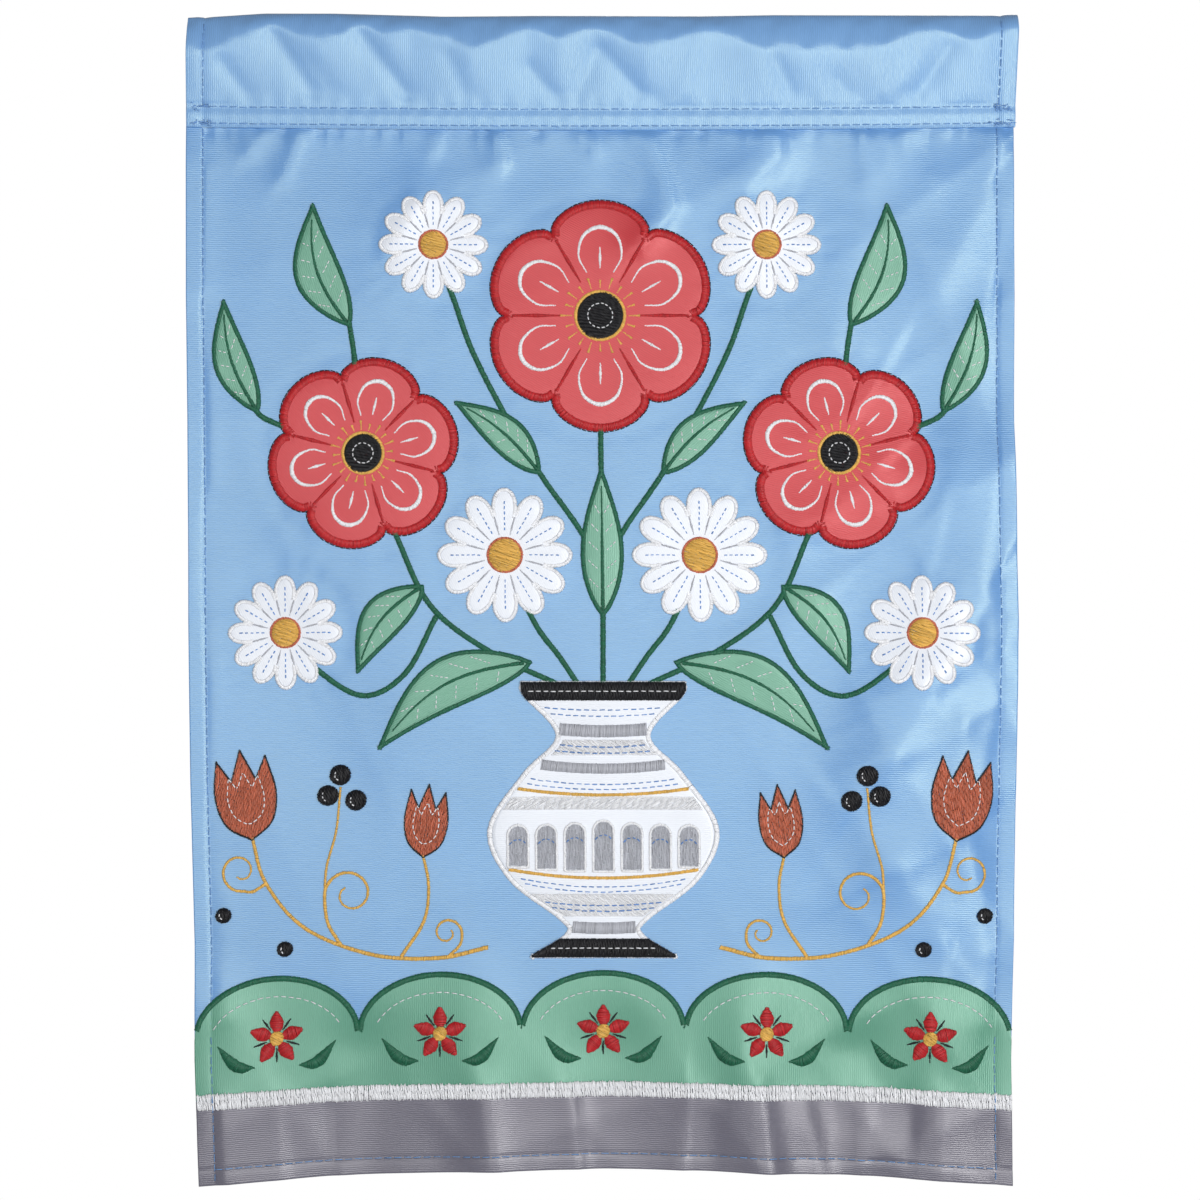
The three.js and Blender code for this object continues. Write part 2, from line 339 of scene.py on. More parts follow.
def sum_node(tree, operation, first, second):
    """A Math node fed by sockets or plain numbers. Returns its output."""
    made = new_node(tree, "ShaderNodeMath", operation=operation)
    for socket, value in zip(made.inputs, (first, second)):
        if isinstance(value, (int, float)):
            socket.default_value = value
        elif value is not None:
            tree.links.new(value, socket)
    return made.outputs[0]


def uneven(tree, place, scale, detail):
    """Values that wander around 0 from place to place."""
    noise = new_node(tree, "ShaderNodeTexNoise")
    noise.inputs["Scale"].default_value = scale
    noise.inputs["Detail"].default_value = detail
    tree.links.new(place, noise.inputs["Vector"])
    return sum_node(tree, "SUBTRACT", noise.outputs[0], 0.5)


def weighed(tree, *terms):
    """The sum of some values, each given with its weight."""
    total = None
    for value, weight in terms:
        part = sum_node(tree, "MULTIPLY", value, weight)
        total = part if total is None else sum_node(tree, "ADD", total, part)
    return total


def effect(name, inputs, outputs):
    """An empty node group with named sockets, and the nodes where values come in and go out."""
    group = bpy.data.node_groups.new(name, "ShaderNodeTree")
    for in_out, sockets in (("INPUT", inputs), ("OUTPUT", outputs)):
        for socket, kind in sockets.items():
            group.interface.new_socket(socket, in_out=in_out, socket_type="NodeSocket" + kind)
    return group, new_node(group, "NodeGroupInput").outputs, new_node(group, "NodeGroupOutput").inputs


def toned(group, colour, tone, result):
    """Sends a colour, made lighter or darker by a tone around 0, to a socket."""
    scaled = new_node(group, "ShaderNodeVectorMath", operation="SCALE")
    group.links.new(colour, scaled.inputs[0])
    group.links.new(sum_node(group, "ADD", tone, 1.0), scaled.inputs["Scale"])
    group.links.new(scaled.outputs[0], result)


def ribbed_weave():
    """The weave of the polyester cloths: close ribs, finer cross threads and slightly uneven yarn. The
    colour follows the rib height, darker in the hollows as painted shade, besides the yarn's own uneven
    tone.
    """
    group, given, result = effect(
        "Ribbed weave",
        {"Flat place": "Vector", "Dye": "Color", "Rib pitch": "Float", "Contrast": "Float"},
        {"Color": "Color", "Height": "Float", "Roughness": "Float"},
    )
    place = given["Flat place"]
    parts = new_node(group, "ShaderNodeSeparateXYZ")
    group.links.new(place, parts.inputs[0])
    drift = sum_node(group, "MULTIPLY", uneven(group, place, 0.45, 3.0), 0.9)
    rib_place = sum_node(group, "ADD", parts.outputs[1], drift)
    rib_turn = sum_node(group, "DIVIDE", rib_place, given["Rib pitch"])
    rib = sum_node(group, "SINE", sum_node(group, "MULTIPLY", rib_turn, 2 * math.pi), None)
    cross_place = sum_node(group, "ADD", parts.outputs[0], sum_node(group, "MULTIPLY", drift, 0.6))
    cross_turn = sum_node(group, "MULTIPLY", cross_place, 2 * math.pi / CROSS_PITCH)
    cross = sum_node(group, "SINE", cross_turn, None)
    stretch = new_node(group, "ShaderNodeMapping")
    stretch.inputs["Scale"].default_value = (0.22, 1.9, 1.0)
    group.links.new(place, stretch.inputs["Vector"])
    yarn = uneven(group, stretch.outputs[0], 1.0, 2.0)
    height = weighed(group, (rib, 0.5), (cross, 0.07), (yarn, 0.25))
    group.links.new(height, result["Height"])
    # Painted shade: the rib and cross-thread height darkens the colour in the hollows and lightens it on the
    # crests, mixed with the yarn's own uneven tone.
    rib_shade_and_yarn_tone = sum_node(group, "MULTIPLY", weighed(group, (height, 0.55), (yarn, 0.4)), given["Contrast"])
    cloud = sum_node(group, "MULTIPLY", uneven(group, place, 0.03, 2.0), 0.12)
    toned(group, given["Dye"], sum_node(group, "ADD", rib_shade_and_yarn_tone, cloud), result["Color"])
    rough = sum_node(group, "ADD", 0.3, sum_node(group, "MULTIPLY", yarn, 0.1))
    group.links.new(rough, result["Roughness"])
    return group


RIB_PITCH = 0.8
CROSS_PITCH = 0.45
RIBBED_WEAVE = ribbed_weave()


def woven(name, colour, contrast=0.26, bump=0.55, sheen=0.1, gloss=(1, 1, 1, 1)):
    """A cloth material of the ribbed weave in one dye, with the tint of its gloss."""
    material = bpy.data.materials.new(name)
    material.use_nodes = True
    tree = material.node_tree
    shader = tree.nodes["Principled BSDF"]
    shader.inputs["IOR"].default_value = 1.65
    shader.inputs["Specular IOR Level"].default_value = 0.9
    shader.inputs["Specular Tint"].default_value = gloss
    shader.inputs["Sheen Weight"].default_value = sheen
    shader.inputs["Sheen Roughness"].default_value = 0.4
    uv = new_node(tree, "ShaderNodeUVMap", uv_map="flat_place_mm")
    weave = new_node(tree, "ShaderNodeGroup", node_tree=RIBBED_WEAVE)
    weave.inputs["Dye"].default_value = colour
    weave.inputs["Rib pitch"].default_value = RIB_PITCH
    # Contrast sets how strongly the rib height paints shade into the colour, together with the yarn's tone.
    weave.inputs["Contrast"].default_value = contrast
    raised = new_node(tree, "ShaderNodeBump")
    raised.inputs["Strength"].default_value = bump
    raised.inputs["Distance"].default_value = 0.00007
    tree.links.new(uv.outputs[0], weave.inputs["Flat place"])
    tree.links.new(weave.outputs["Color"], shader.inputs["Base Color"])
    tree.links.new(weave.outputs["Roughness"], shader.inputs["Roughness"])
    tree.links.new(weave.outputs["Height"], raised.inputs["Height"])
    tree.links.new(raised.outputs[0], shader.inputs["Normal"])
    return material


SKY_GLOSS = (0.85, 1.0, 0.7, 1)
sky_cloth = woven("Sky blue ribbed polyester", dye(104, 156, 218), gloss=SKY_GLOSS)

ground_columns = stops(
    -SIDE, SIDE, GROUND_PITCH,
    [s * (SIDE - off) for s in (-1, 1) for off in (0, 0.5, 5.2, 5.9, HEM_ROW, 7.3, 8.2)],
)
ground_rows = stops(
    GROUND_TOP, FLAG_DROP, GROUND_PITCH,
    [FLAG_DROP - off for off in (0, 0.5, 4.9, 5.6, LOWER_HEM_ROW, 7.0, 7.9)],
)
flat, faces = flat_grid(ground_columns, ground_rows)
in_hem = (np.abs(flat[:, 0]) > SIDE - HEM_WIDTH) | (flat[:, 1] > FLAG_DROP - HEM_WIDTH)
in_hem &= flat[:, 1] > SEAM_DOWN
in_seam = flat[:, 1] < SEAM_DOWN
ground_back = np.where(in_hem, HEM_BACK, np.where(in_seam, SEAM_BACK, CLOTH_BACK))
ground = closed_sheet("ground_cloth_hung", flat, faces, CLOTH_FRONT, ground_back)
fit(ground, sky_cloth, "ground_cloth")


# Rod sleeve
# A second strip of the same cloth, cut across the grain so that its ribs run upright. It is
# folded over the rod, its lower edge turned under, and sewn down in front of and behind the
# ground cloth. With no rod in it, it keeps a round crown, and creases fan down from the fold.

ROD_DROP = 6.0
CROWN_RADIUS = 6.5
SLEEVE_SEAM_Z = -35.5
SLEEVE_FOOT_Z = -43.5
LEG_HEIGHT = -ROD_DROP - SLEEVE_SEAM_Z
SLEEVE_LEG = 1.35
FLAP_DEPTH = 6.5
SLEEVE_ROWS = (36.5, 43.0)
SLEEVE_ROW_PULL = 0.35

# x and rise of the crown
CROWN_RISES = np.array([
    (-161.5, -1.9),
    (-132, 0),
    (-105, 0),
    (-62, -1.2),
    (-22, -0.9),
    (38, -1.1),
    (66, -0.6),
    (161.5, -0.8),
])

# x of the tips of the light folds, where the roll of the crown reaches least far down. The back
# has them the other way round, moved aside.
FOLD_TIPS = [-128, -93, -74, -29, -4.5, 39, 128, 160]
BACK_SHIFT = 12
ROLL_LEAST = 5.5
ROLL_MOST = 14.5
ROLL_SLOPE = 0.38
ROLL_BULGE = 2.4
ROLL_CURVE = 0.6
CREST_SOFTNESS = 0.4
PINCH_DEPTH = 1.6

# x and down of both ends, half width, height: slanting hollows and folds down to the seam
SLEEVE_CREASES = [
    (-148, 19, -135, 36, 4, -0.9),
    (-128, 9, -108, 37, 4.5, -1.4),
    (-112, 20, -100, 36, 4, -0.5),
    (-94, 9, -72, 36, 4.5, -1.4),
    (-60, 16, -50, 36, 4, -0.6),
    (-28, 21, -16, 35, 4, -1.1),
    (-3, 17, -11, 36, 4, -0.7),
    (-1, 14, 21, 37, 4.5, -1.3),
    (39, 8, 30, 36, 5, 0.7),
    (67, 18, 77, 36, 4, -0.9),
    (92, 26, 99, 36, 4, -0.6),
    (135, 14, 122, 33, 4, -1.2),
    (128, 8, 118, 26, 5, 0.6),
    (108, 24, 112, 36, 5, 0.6),
    (150, 10, 146, 34, 5, 0.5),
]

arc = [
    (-CROWN_RADIUS * math.cos(a), -ROD_DROP + CROWN_RADIUS * math.sin(a))
    for a in np.linspace(0, math.pi, 25)
]
leg = [(-SLEEVE_LEG, SLEEVE_FOOT_Z), (-SLEEVE_LEG, SLEEVE_SEAM_Z)]
SLEEVE_PATH = np.array(leg + arc + [(-y, z) for y, z in reversed(leg)])
SLEEVE_RUN = np.concatenate([[0], np.cumsum(np.hypot(*np.diff(SLEEVE_PATH, axis=0).T))])
SLEEVE_LENGTH = float(SLEEVE_RUN[-1])


def as_in_front(x, run):
    """The x whose folds in front are like those at a place on the sleeve's back."""
    return np.where(run > SLEEVE_LENGTH / 2, BACK_SHIFT - x, x)


def sleeve_section(x, run):
    """The middle of the sleeve's cloth at x: how far behind the rod's line, and how high."""
    z = np.interp(run, SLEEVE_RUN, SLEEVE_PATH[:, 1])
    below_top = np.maximum(CROWN_RADIUS - ROD_DROP - z, 0)
    from_tip = np.min([np.abs(as_in_front(x, run) - tip) for tip in FOLD_TIPS], axis=0)
    crest = np.minimum(ROLL_LEAST + ROLL_SLOPE * from_tip, ROLL_MOST)
    seam_drop = CROWN_RADIUS - ROD_DROP - SLEEVE_SEAM_Z

    def spread(drop):
        share = np.clip((seam_drop - drop) / LEG_HEIGHT, 0, 1)
        return SLEEVE_LEG + (CROWN_RADIUS - SLEEVE_LEG) * share

    bulge = ROLL_BULGE * crest / ROLL_MOST
    hanging = spread(below_top) + bulge * np.clip((seam_drop - below_top) / (seam_drop - crest), 0, 1)
    share = np.clip(below_top / crest, 0, 1)
    round_share = 0.5 * share**ROLL_CURVE + 0.5 * np.sqrt(1 - (1 - share) ** 2)
    rolled = (spread(crest) + bulge) * round_share
    ripple = np.sin(x * 0.31 + 2 * np.sin(x * 0.07)) + 0.6 * np.sin(x * 0.83 + 1.7)
    ripple = ripple * smooth(below_top, 1.5, 5) * (1 - smooth(below_top, crest - 3, crest))
    rolled = rolled + 0.35 * ripple
    pinch = np.maximum(np.sin(x * 0.41 + 2.1 * np.sin(x * 0.17)) - 0.6, 0)
    rolled = rolled - PINCH_DEPTH * pinch * smooth(below_top, 0.2, 1.2) * (1 - smooth(below_top, 2, 6))
    half = -CREST_SOFTNESS * np.logaddexp(-rolled / CREST_SOFTNESS, -hanging / CREST_SOFTNESS)
    half = np.where(below_top > 0, half, 0)
    return np.where(run > SLEEVE_LENGTH / 2, half, -half), z


def over_rod(x, run, outward=0.0):
    """A place on the sleeve: x, and how far it is up the front, over the crown and down the back."""
    x, run = np.broadcast_arrays(np.asarray(x, float), np.asarray(run, float))
    y, z = sleeve_section(x, run)
    ahead = sleeve_section(x, np.clip(run + 1.2, 0, SLEEVE_LENGTH))
    before = sleeve_section(x, np.clip(run - 1.2, 0, SLEEVE_LENGTH))
    slope_y, slope_z = ahead[0] - before[0], ahead[1] - before[1]
    size = np.hypot(slope_y, slope_z)
    down = 1 - z
    folded = 0
    for *ends, half, height in SLEEVE_CREASES:
        folded = folded + crease(distance_to_line(as_in_front(x, run), down, *ends), half, height)
    folded = folded * smooth(down, 3, 9) * (1 - smooth(down, 30, 36.5))
    folded = folded + 0.4 * crumple(x, down + 300) * smooth(down, 3, 9) * (1 - smooth(down, 33, 37))
    pucker = 0.16 * np.sin(x * 0.74 + 1.6 * np.sin(x * 0.11)) * bell(down - 34, 3)
    pulled = sum(bell(down - row, 0.9) for row in SLEEVE_ROWS)
    lifted = bell(down - sum(SLEEVE_ROWS) / 2, 1.8) * (0.3 + 0.16 * np.sin(x * 0.9 + np.sin(x * 0.23)))
    offset = outward + folded + pucker - 0.3 * pulled + lifted
    height = np.clip((z - SLEEVE_SEAM_Z) / LEG_HEIGHT, 0, 1)
    sag = SEAM_SAG * (1 - (x / SIDE) ** 2) * (1 - height)
    rise = np.interp(x, CROWN_RISES[:, 0], CROWN_RISES[:, 1]) * height
    sideways = x - 0.7 * (1 - height)
    y = y - offset * slope_z / size
    z = z + offset * slope_y / size + rise - sag
    return MM * np.stack([sideways, y, z], axis=-1)


hem_columns = [s * (SIDE - off) for s in (-1, 1) for off in (0, 0.5, 5.9, HEM_ROW, 7.3)]
sleeve_columns = stops(-SIDE, SIDE, 1.9, hem_columns)
sleeve_rows = stops(0, SLEEVE_LENGTH, 1.4, [0, 0.4, SLEEVE_LENGTH - 0.4, SLEEVE_LENGTH])
flat, faces = flat_grid(sleeve_columns, sleeve_rows)
from_foot = np.minimum(flat[:, 1], SLEEVE_LENGTH - flat[:, 1])
turned_under = 1 - smooth(from_foot, FLAP_DEPTH, FLAP_DEPTH + 0.8)
from_side = SIDE - np.abs(flat[:, 0])
side_pull = HEM_RISE * (1 - smooth(from_side, 4, 8))
side_pull = side_pull - SLEEVE_ROW_PULL * bell(from_side - HEM_ROW, ROW_HALF_WIDTH)
sleeve = closed_sheet(
    "rod_sleeve_folded", flat, faces, 0.25 + side_pull, -0.15 - 0.3 * turned_under,
    place=over_rod, grain=math.pi / 2,
)
# The same cloth as the ground, but dyed lighter: painted sheen for the brighter gloss that its upright ribs
# catch.
upright_cloth_with_painted_sheen = woven(
    "Sky blue ribbed polyester, upright ribs", dye(122, 170, 226),
    bump=0.8, sheen=0.15, gloss=SKY_GLOSS,
)
fit(sleeve, upright_cloth_with_painted_sheen, "rod_sleeve")


# Border strips
# A grey strip and a green strip of the same make of cloth lie over the foot of the ground cloth
# and are caught in its hems. The upper edge of the green one is cut in five low scallops.

STRIP_FRONT = 1.15
STRIP_BACK = 0.75
STRIP_GAP = 0.3
GREEN_GLOSS = (0.7, 1, 0.85, 1)
BORDER_SEAM = 424.0
SCALLOP_COUNT = 5
SCALLOP_VALLEY = 400.0
SCALLOP_PEAK = 377.0
SCALLOP_WIDTH = FLAG_WIDTH / SCALLOP_COUNT


def scallop_edge(x):
    """How far down the upper edge of the green strip is."""
    within = np.abs(((np.asarray(x, float) + SIDE) / SCALLOP_WIDTH) % 1 - 0.5) * 2
    return SCALLOP_VALLEY - (SCALLOP_VALLEY - SCALLOP_PEAK) * np.sqrt(np.maximum(0, 1 - within**2))


valleys = [-SIDE + i * SCALLOP_WIDTH for i in range(1, SCALLOP_COUNT)]
near_valleys = [v + off for v in valleys for off in (-1.6, -0.5, 0, 0.5, 1.6)]
strip_columns = stops(-SIDE, SIDE, 2.4, near_valleys + hem_columns)


def strip(name, upper, lower, rows, extra, material, node, grain=0.0):
    """A border strip between two edges, laid over the ground cloth."""
    shares = np.array(sorted({*np.linspace(0, 1, rows + 1), *extra}))
    grid_x, share = np.meshgrid(strip_columns, shares)
    top = upper(grid_x)
    grid_down = top + (lower - top) * share
    flat = np.column_stack([grid_x.ravel(), grid_down.ravel()])
    faces = grid_faces(len(shares), len(strip_columns))
    piece = closed_sheet(name, flat, faces, STRIP_FRONT, STRIP_BACK, grain=grain)
    fit(piece, material, node)
    drops = lower - upper(strip_columns)


grey_drop = FLAG_DROP - BORDER_SEAM
grey_rows = [1 - off / grey_drop for off in (0.5, 4.9, 5.6, LOWER_HEM_ROW, 7.0, 7.9)]
grey_cloth = woven("Grey ribbed polyester", dye(100, 98, 113), gloss=(1, 0.98, 1, 1))
strip(
    "grey_border_strip", lambda x: np.full_like(x, BORDER_SEAM), FLAG_DROP, 12, grey_rows,
    grey_cloth, "grey_border",
)
border_green = woven("Green ribbed polyester", dye(86, 148, 124), gloss=GREEN_GLOSS)
strip(
    "green_scalloped_strip", scallop_edge, BORDER_SEAM - STRIP_GAP, 18, [0.01],
    border_green, "green_scallops", grain=math.pi / 2,
)


# Sewn-on flowers, leaves and vase
# Cut from red, white and green cloth and laid flat on the ground cloth, each turned a little
# so that its ribs lie its own way. The edges are pressed down by the stitching around them.

PIECE_FRONT = 1.2
PIECE_BACK = 0.75
PIECE_CROWN = 0.2
EDGE_PRESS = 0.35


def ringed(outline, centre, rings):
    """Flat places and faces of a piece meshed in rings from its centre out to its outline."""
    outline, centre = np.asarray(outline), np.asarray(centre)
    shares = 1 - (1 - np.linspace(0, 1, rings + 1)[1:]) ** 1.35
    places = [centre[None, :]] + [centre + (outline - centre) * s for s in shares]
    count = len(outline)
    faces = [(0, 1 + i, 1 + (i + 1) % count) for i in range(count)]
    for ring in range(rings - 1):
        low, high = 1 + ring * count, 1 + (ring + 1) * count
        for i in range(count):
            beside = (i + 1) % count
            faces.append((low + i, high + i, high + beside, low + beside))
    return np.vstack(places), faces, np.concatenate([[0], np.repeat(shares, count)])


def lay_on(name, flat, faces, from_edge, material, node, grain):
    """Lays a cut piece on the ground cloth. from_edge is how far each place is from its edge."""
    front = PIECE_FRONT + PIECE_CROWN * smooth(from_edge, 0, 8)
    front = front - EDGE_PRESS * (1 - smooth(from_edge, 0, 1.6))
    piece = closed_sheet(name, flat, faces, front, PIECE_BACK, grain=grain)
    fit(piece, material, node)


def flower_outline(x, down, radius, turn, petals, notch, points):
    """Round petals with a notch between them."""
    angle = np.linspace(0, 2 * math.pi, points, endpoint=False)
    lobe = np.abs(np.cos(petals * angle / 2)) ** 0.5
    reach = radius * (1 - notch + notch * lobe)
    return np.column_stack([x + reach * np.sin(angle + turn), down - reach * np.cos(angle + turn)])


def leaf_outline(x1, down1, x2, down2, half_width, bend, points=24):
    """Two bowed sides from the base to the tip."""
    length = math.hypot(x2 - x1, down2 - down1)
    ax, ad = (x2 - x1) / length, (down2 - down1) / length
    share = np.linspace(0, 1, points + 1)

    def edge(share, sideways):
        off = sideways * half_width * np.sin(math.pi * share**0.8) + bend * np.sin(math.pi * share)
        along = length * share
        return np.column_stack([x1 + ax * along - ad * off, down1 + ad * along + ax * off])

    return np.vstack([edge(share[:-1], 1), edge(share[1:][::-1], -1)])


def leaf_axis(x1, down1, x2, down2, _, bend, points=24):
    """The line along a leaf's middle, given the same sizes."""
    return leaf_outline(x1, down1, x2, down2, 0, bend, points)[:points]


def curve_through(points, steps=10):
    """A smooth curve through a few places."""
    p = np.asarray(points, float)
    p = np.vstack([2 * p[0] - p[1], p, 2 * p[-1] - p[-2]])
    t = np.linspace(0, 1, steps, endpoint=False)[:, None]
    parts = []
    for a, b, c, d in zip(p, p[1:], p[2:], p[3:]):
        squared, cubed = 2 * a - 5 * b + 4 * c - d, 3 * b - a - 3 * c + d
        parts.append(0.5 * (2 * b + (c - a) * t + squared * t**2 + cubed * t**3))
    return np.vstack([*parts, p[-2:-1]])


def mirrored(places):
    """The same places on the flag's other side, in the order that keeps their turn."""
    return np.asarray(places)[::-1] * (-1, 1)


red_cloth = woven("Red ribbed polyester", dye(192, 50, 58), gloss=(1, 0.45, 0.45, 1))
white_cloth = woven("White ribbed polyester", dye(226, 231, 240), contrast=0.09, sheen=0.0)
green_cloth = woven("Green ribbed polyester of the leaves", dye(90, 148, 124), gloss=GREEN_GLOSS)

# name, x, down, radius, turn
POPPIES = [
    ("poppy_top", 0, 118, 45, 0),
    ("poppy_left", -93, 172, 37, 0.25),
    ("poppy_right", 93, 172, 37, -0.25),
]
poppy_outlines = {}
for name, x, down, radius, turn in POPPIES:
    outline = flower_outline(x, down, radius, turn, 6, 0.2, 168)
    poppy_outlines[name] = outline
    flat, faces, share = ringed(outline, (x, down), 20)
    from_edge = (1 - share) * radius
    lay_on(name + "_cloth", flat, faces, from_edge, red_cloth, name, 0.5 + turn)

# name, x, down, radius
DAISIES = [
    ("daisy_upper", 65, 90, 21),
    ("daisy_lower", 38, 212, 26),
    ("daisy_side", 124, 242, 22),
]
daisy_outlines = {}
for name, x, down, radius in DAISIES:
    right = flower_outline(x, down, radius, 0, 12, 0.4, 288)
    for end, outline, middle in (("_right", right, x), ("_left", mirrored(right), -x)):
        node = name + end
        daisy_outlines[node] = (outline, middle, down, radius)
        flat, faces, share = ringed(outline, (middle, down), 10)
        from_edge = (1 - share) * radius
        lay_on(node + "_cloth", flat, faces, from_edge, white_cloth, node, 1.1)

# name, x and down of the base and of the tip, half width, bend
LEAVES = [
    ("leaf_upper", 24, 180, 57, 152, 7, -3),
    ("leaf_top", 98, 122, 112, 74, 9, 6),
    ("leaf_outer", 134, 156, 147, 112, 7, 4),
    ("leaf_side", 70, 224, 96, 258, 8, -5),
    ("leaf_vase", 28, 254, 88, 288, 10, -9),
]
MIDDLE_LEAF = ("leaf_middle", 0, 236, 0, 178, 8, 0)
leaf_shapes = {}
for name, *sizes in LEAVES:
    leaf_shapes[name + "_right"] = (leaf_outline(*sizes), leaf_axis(*sizes))
    leaf_shapes[name + "_left"] = (mirrored(leaf_outline(*sizes)), mirrored(leaf_axis(*sizes))[::-1])
leaf_shapes[MIDDLE_LEAF[0]] = (leaf_outline(*MIDDLE_LEAF[1:]), leaf_axis(*MIDDLE_LEAF[1:]))
for name, (outline, axis) in leaf_shapes.items():
    flat, faces, share = ringed(outline, axis[len(axis) // 2], 7)
    lean = math.atan2(axis[-1][1] - axis[0][1], axis[-1][0] - axis[0][0])
    lay_on(name + "_cloth", flat, faces, (1 - share) * 9, green_cloth, name, lean)

# half width and down of the vase's profile
VASE_PROFILE = [
    (32, 262), (31, 267), (18, 283), (31, 298), (45, 320), (37, 340), (17, 356), (15, 362), (29, 371),
]
VASE_COLUMNS = 33
profile = curve_through(VASE_PROFILE, 8)
vase_outline = np.vstack([profile, profile[::-1] * (-1, 1)])
across = np.linspace(-1, 1, VASE_COLUMNS)
flat = np.vstack([np.column_stack([half * across, np.full_like(across, down)]) for half, down in profile])
from_edge = np.concatenate([half * (1 - np.abs(across)) for half, down in profile])
end_distance = np.minimum(flat[:, 1] - flat[0, 1], flat[-1, 1] - flat[:, 1])
lay_on(
    "vase_cloth", flat, grid_faces(len(profile), VASE_COLUMNS), np.minimum(from_edge, end_distance),
    white_cloth, "vase", 0,
)


# Stems
# Dark green satin lines from the vase's mouth up to each flower. Like all embroidery here they are
# sewn with glossy polyester thread 0.4 mm thick, a little flattened. Each stitch is one low ridge
# whose ends dip into the cloth.

STEM_WIDTH = 2.4
COVER_SHARE = 0.96
THREAD = 0.5
SATIN_THREAD = 0.56
THREAD_ROUND = 0.55
STITCH_DIP = 0.28
PLY_PITCH = 0.6

# A stitch's eight corners: which end, share of the dip, share of the width, rise, the round top
STITCH_CORNERS = np.array([
    (0, 1, -0.5, 0.8, 0),
    (0, 1, 0, 0.8, 1),
    (0, 1, 0.5, 0.8, 0),
    (1, -1, -0.5, 0.8, 0),
    (1, -1, 0, 0.8, 1),
    (1, -1, 0.5, 0.8, 0),
    (0, 0, 0, -0.55, 0),
    (1, 0, 0, -0.55, 0),
])
STITCH_FACES = np.array([
    (0, 1, 4), (0, 4, 3), (1, 2, 5), (1, 5, 4), (2, 0, 3), (2, 3, 5),
    (6, 1, 0), (6, 2, 1), (6, 0, 2), (7, 3, 4), (7, 4, 5), (7, 5, 3),
])
draw = np.random.default_rng(11)


def stitches(starts, ends, width=THREAD, lift=0.45, base=CLOTH_FRONT, base_end=None):
    """Rows of single stitches: both ends, thread width, rise, and the height of the cloth at each end."""
    starts, ends = np.asarray(starts, float), np.asarray(ends, float)
    base_end = base if base_end is None else base_end
    rows = [np.broadcast_to(v, len(starts)) for v in (width, lift, base, base_end)]
    return np.column_stack([starts, ends, *rows])


def sew(name, material, groups, place=hung, wander=0.06):
    """Makes one piece of many stitches, each its own closed ridge with its own shade."""
    rows = np.vstack(groups)
    count, corners = len(rows), len(STITCH_CORNERS)
    start = rows[:, 0:2] + draw.normal(0, wander, (count, 2))
    end = rows[:, 2:4] + draw.normal(0, wander, (count, 2))
    width = rows[:, 4, None] * draw.uniform(0.85, 1.12, count)[:, None]
    lift = rows[:, 5, None] * draw.uniform(0.8, 1.2, count)[:, None]
    along_it = end - start
    length = np.maximum(np.hypot(along_it[:, 0], along_it[:, 1]), 1e-6)[:, None]
    side = np.column_stack([-along_it[:, 1], along_it[:, 0]]) / length
    end_of, dip, across, rise, top = STITCH_CORNERS.T
    share = end_of + dip * np.minimum(STITCH_DIP / length, 0.25)
    flat = start[:, None] + along_it[:, None] * share[..., None]
    flat = flat + side[:, None] * (width * across)[..., None]
    base = rows[:, 6, None] + (rows[:, 7] - rows[:, 6])[:, None] * share
    forward = base + lift * rise + THREAD_ROUND * width * top * np.sign(lift)
    places = place(flat[..., 0].ravel(), flat[..., 1].ravel(), forward.ravel())
    a, b, c = places[STITCH_FACES.T]
    inward = np.einsum("ij,ij->i", a, np.cross(b, c)).sum() < 0
    faces = STITCH_FACES[:, ::-1] if inward else STITCH_FACES
    faces = (faces[None] + (np.arange(count) * corners)[:, None, None]).reshape(-1, 3)
    mesh = bpy.data.meshes.new(name)
    mesh.from_pydata(places.tolist(), [], faces.tolist())
    vertices = np.empty(len(mesh.loops), dtype=np.int32)
    mesh.loops.foreach_get("vertex_index", vertices)
    uv = mesh.uv_layers.new(name="along_thread_mm")
    thread_place = np.column_stack([(length * share).ravel(), np.tile(across / 2, count)])
    uv.data.foreach_set("uv", thread_place[vertices].ravel())
    shade = mesh.attributes.new("shade", "FLOAT", "POINT")
    shade.data.foreach_set("value", np.repeat(draw.uniform(0, 1, count), corners).astype(np.float32))
    mesh.shade_smooth()
    mesh.materials.append(material)
    piece = bpy.data.objects.new(name, mesh)
    bpy.context.scene.collection.objects.link(piece)
    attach(piece, "root")


def twisted_thread():
    """Thread colour that differs from stitch to stitch, and the ply's slanting ridges, whose height also
    darkens the colour a little in their grooves as painted shade.
    """
    group, given, result = effect(
        "Twisted thread",
        {"Along": "Vector", "Shade": "Float", "Dye": "Color", "Spread": "Float"},
        {"Color": "Color", "Height": "Float"},
    )
    parts = new_node(group, "ShaderNodeSeparateXYZ")
    group.links.new(given["Along"], parts.inputs[0])
    turn = sum_node(group, "DIVIDE", parts.outputs[0], PLY_PITCH)
    turn = sum_node(group, "ADD", turn, parts.outputs[1])
    ply = sum_node(group, "SINE", sum_node(group, "MULTIPLY", turn, 2 * math.pi), None)
    group.links.new(ply, result["Height"])
    off = sum_node(group, "SUBTRACT", given["Shade"], 0.5)
    # The ply's height tints the colour a little: painted shade in the twist's grooves.
    tone = weighed(group, (off, given["Spread"]), (ply, 0.05))
    toned(group, given["Dye"], tone, result["Color"])
    return group


TWISTED_THREAD = twisted_thread()


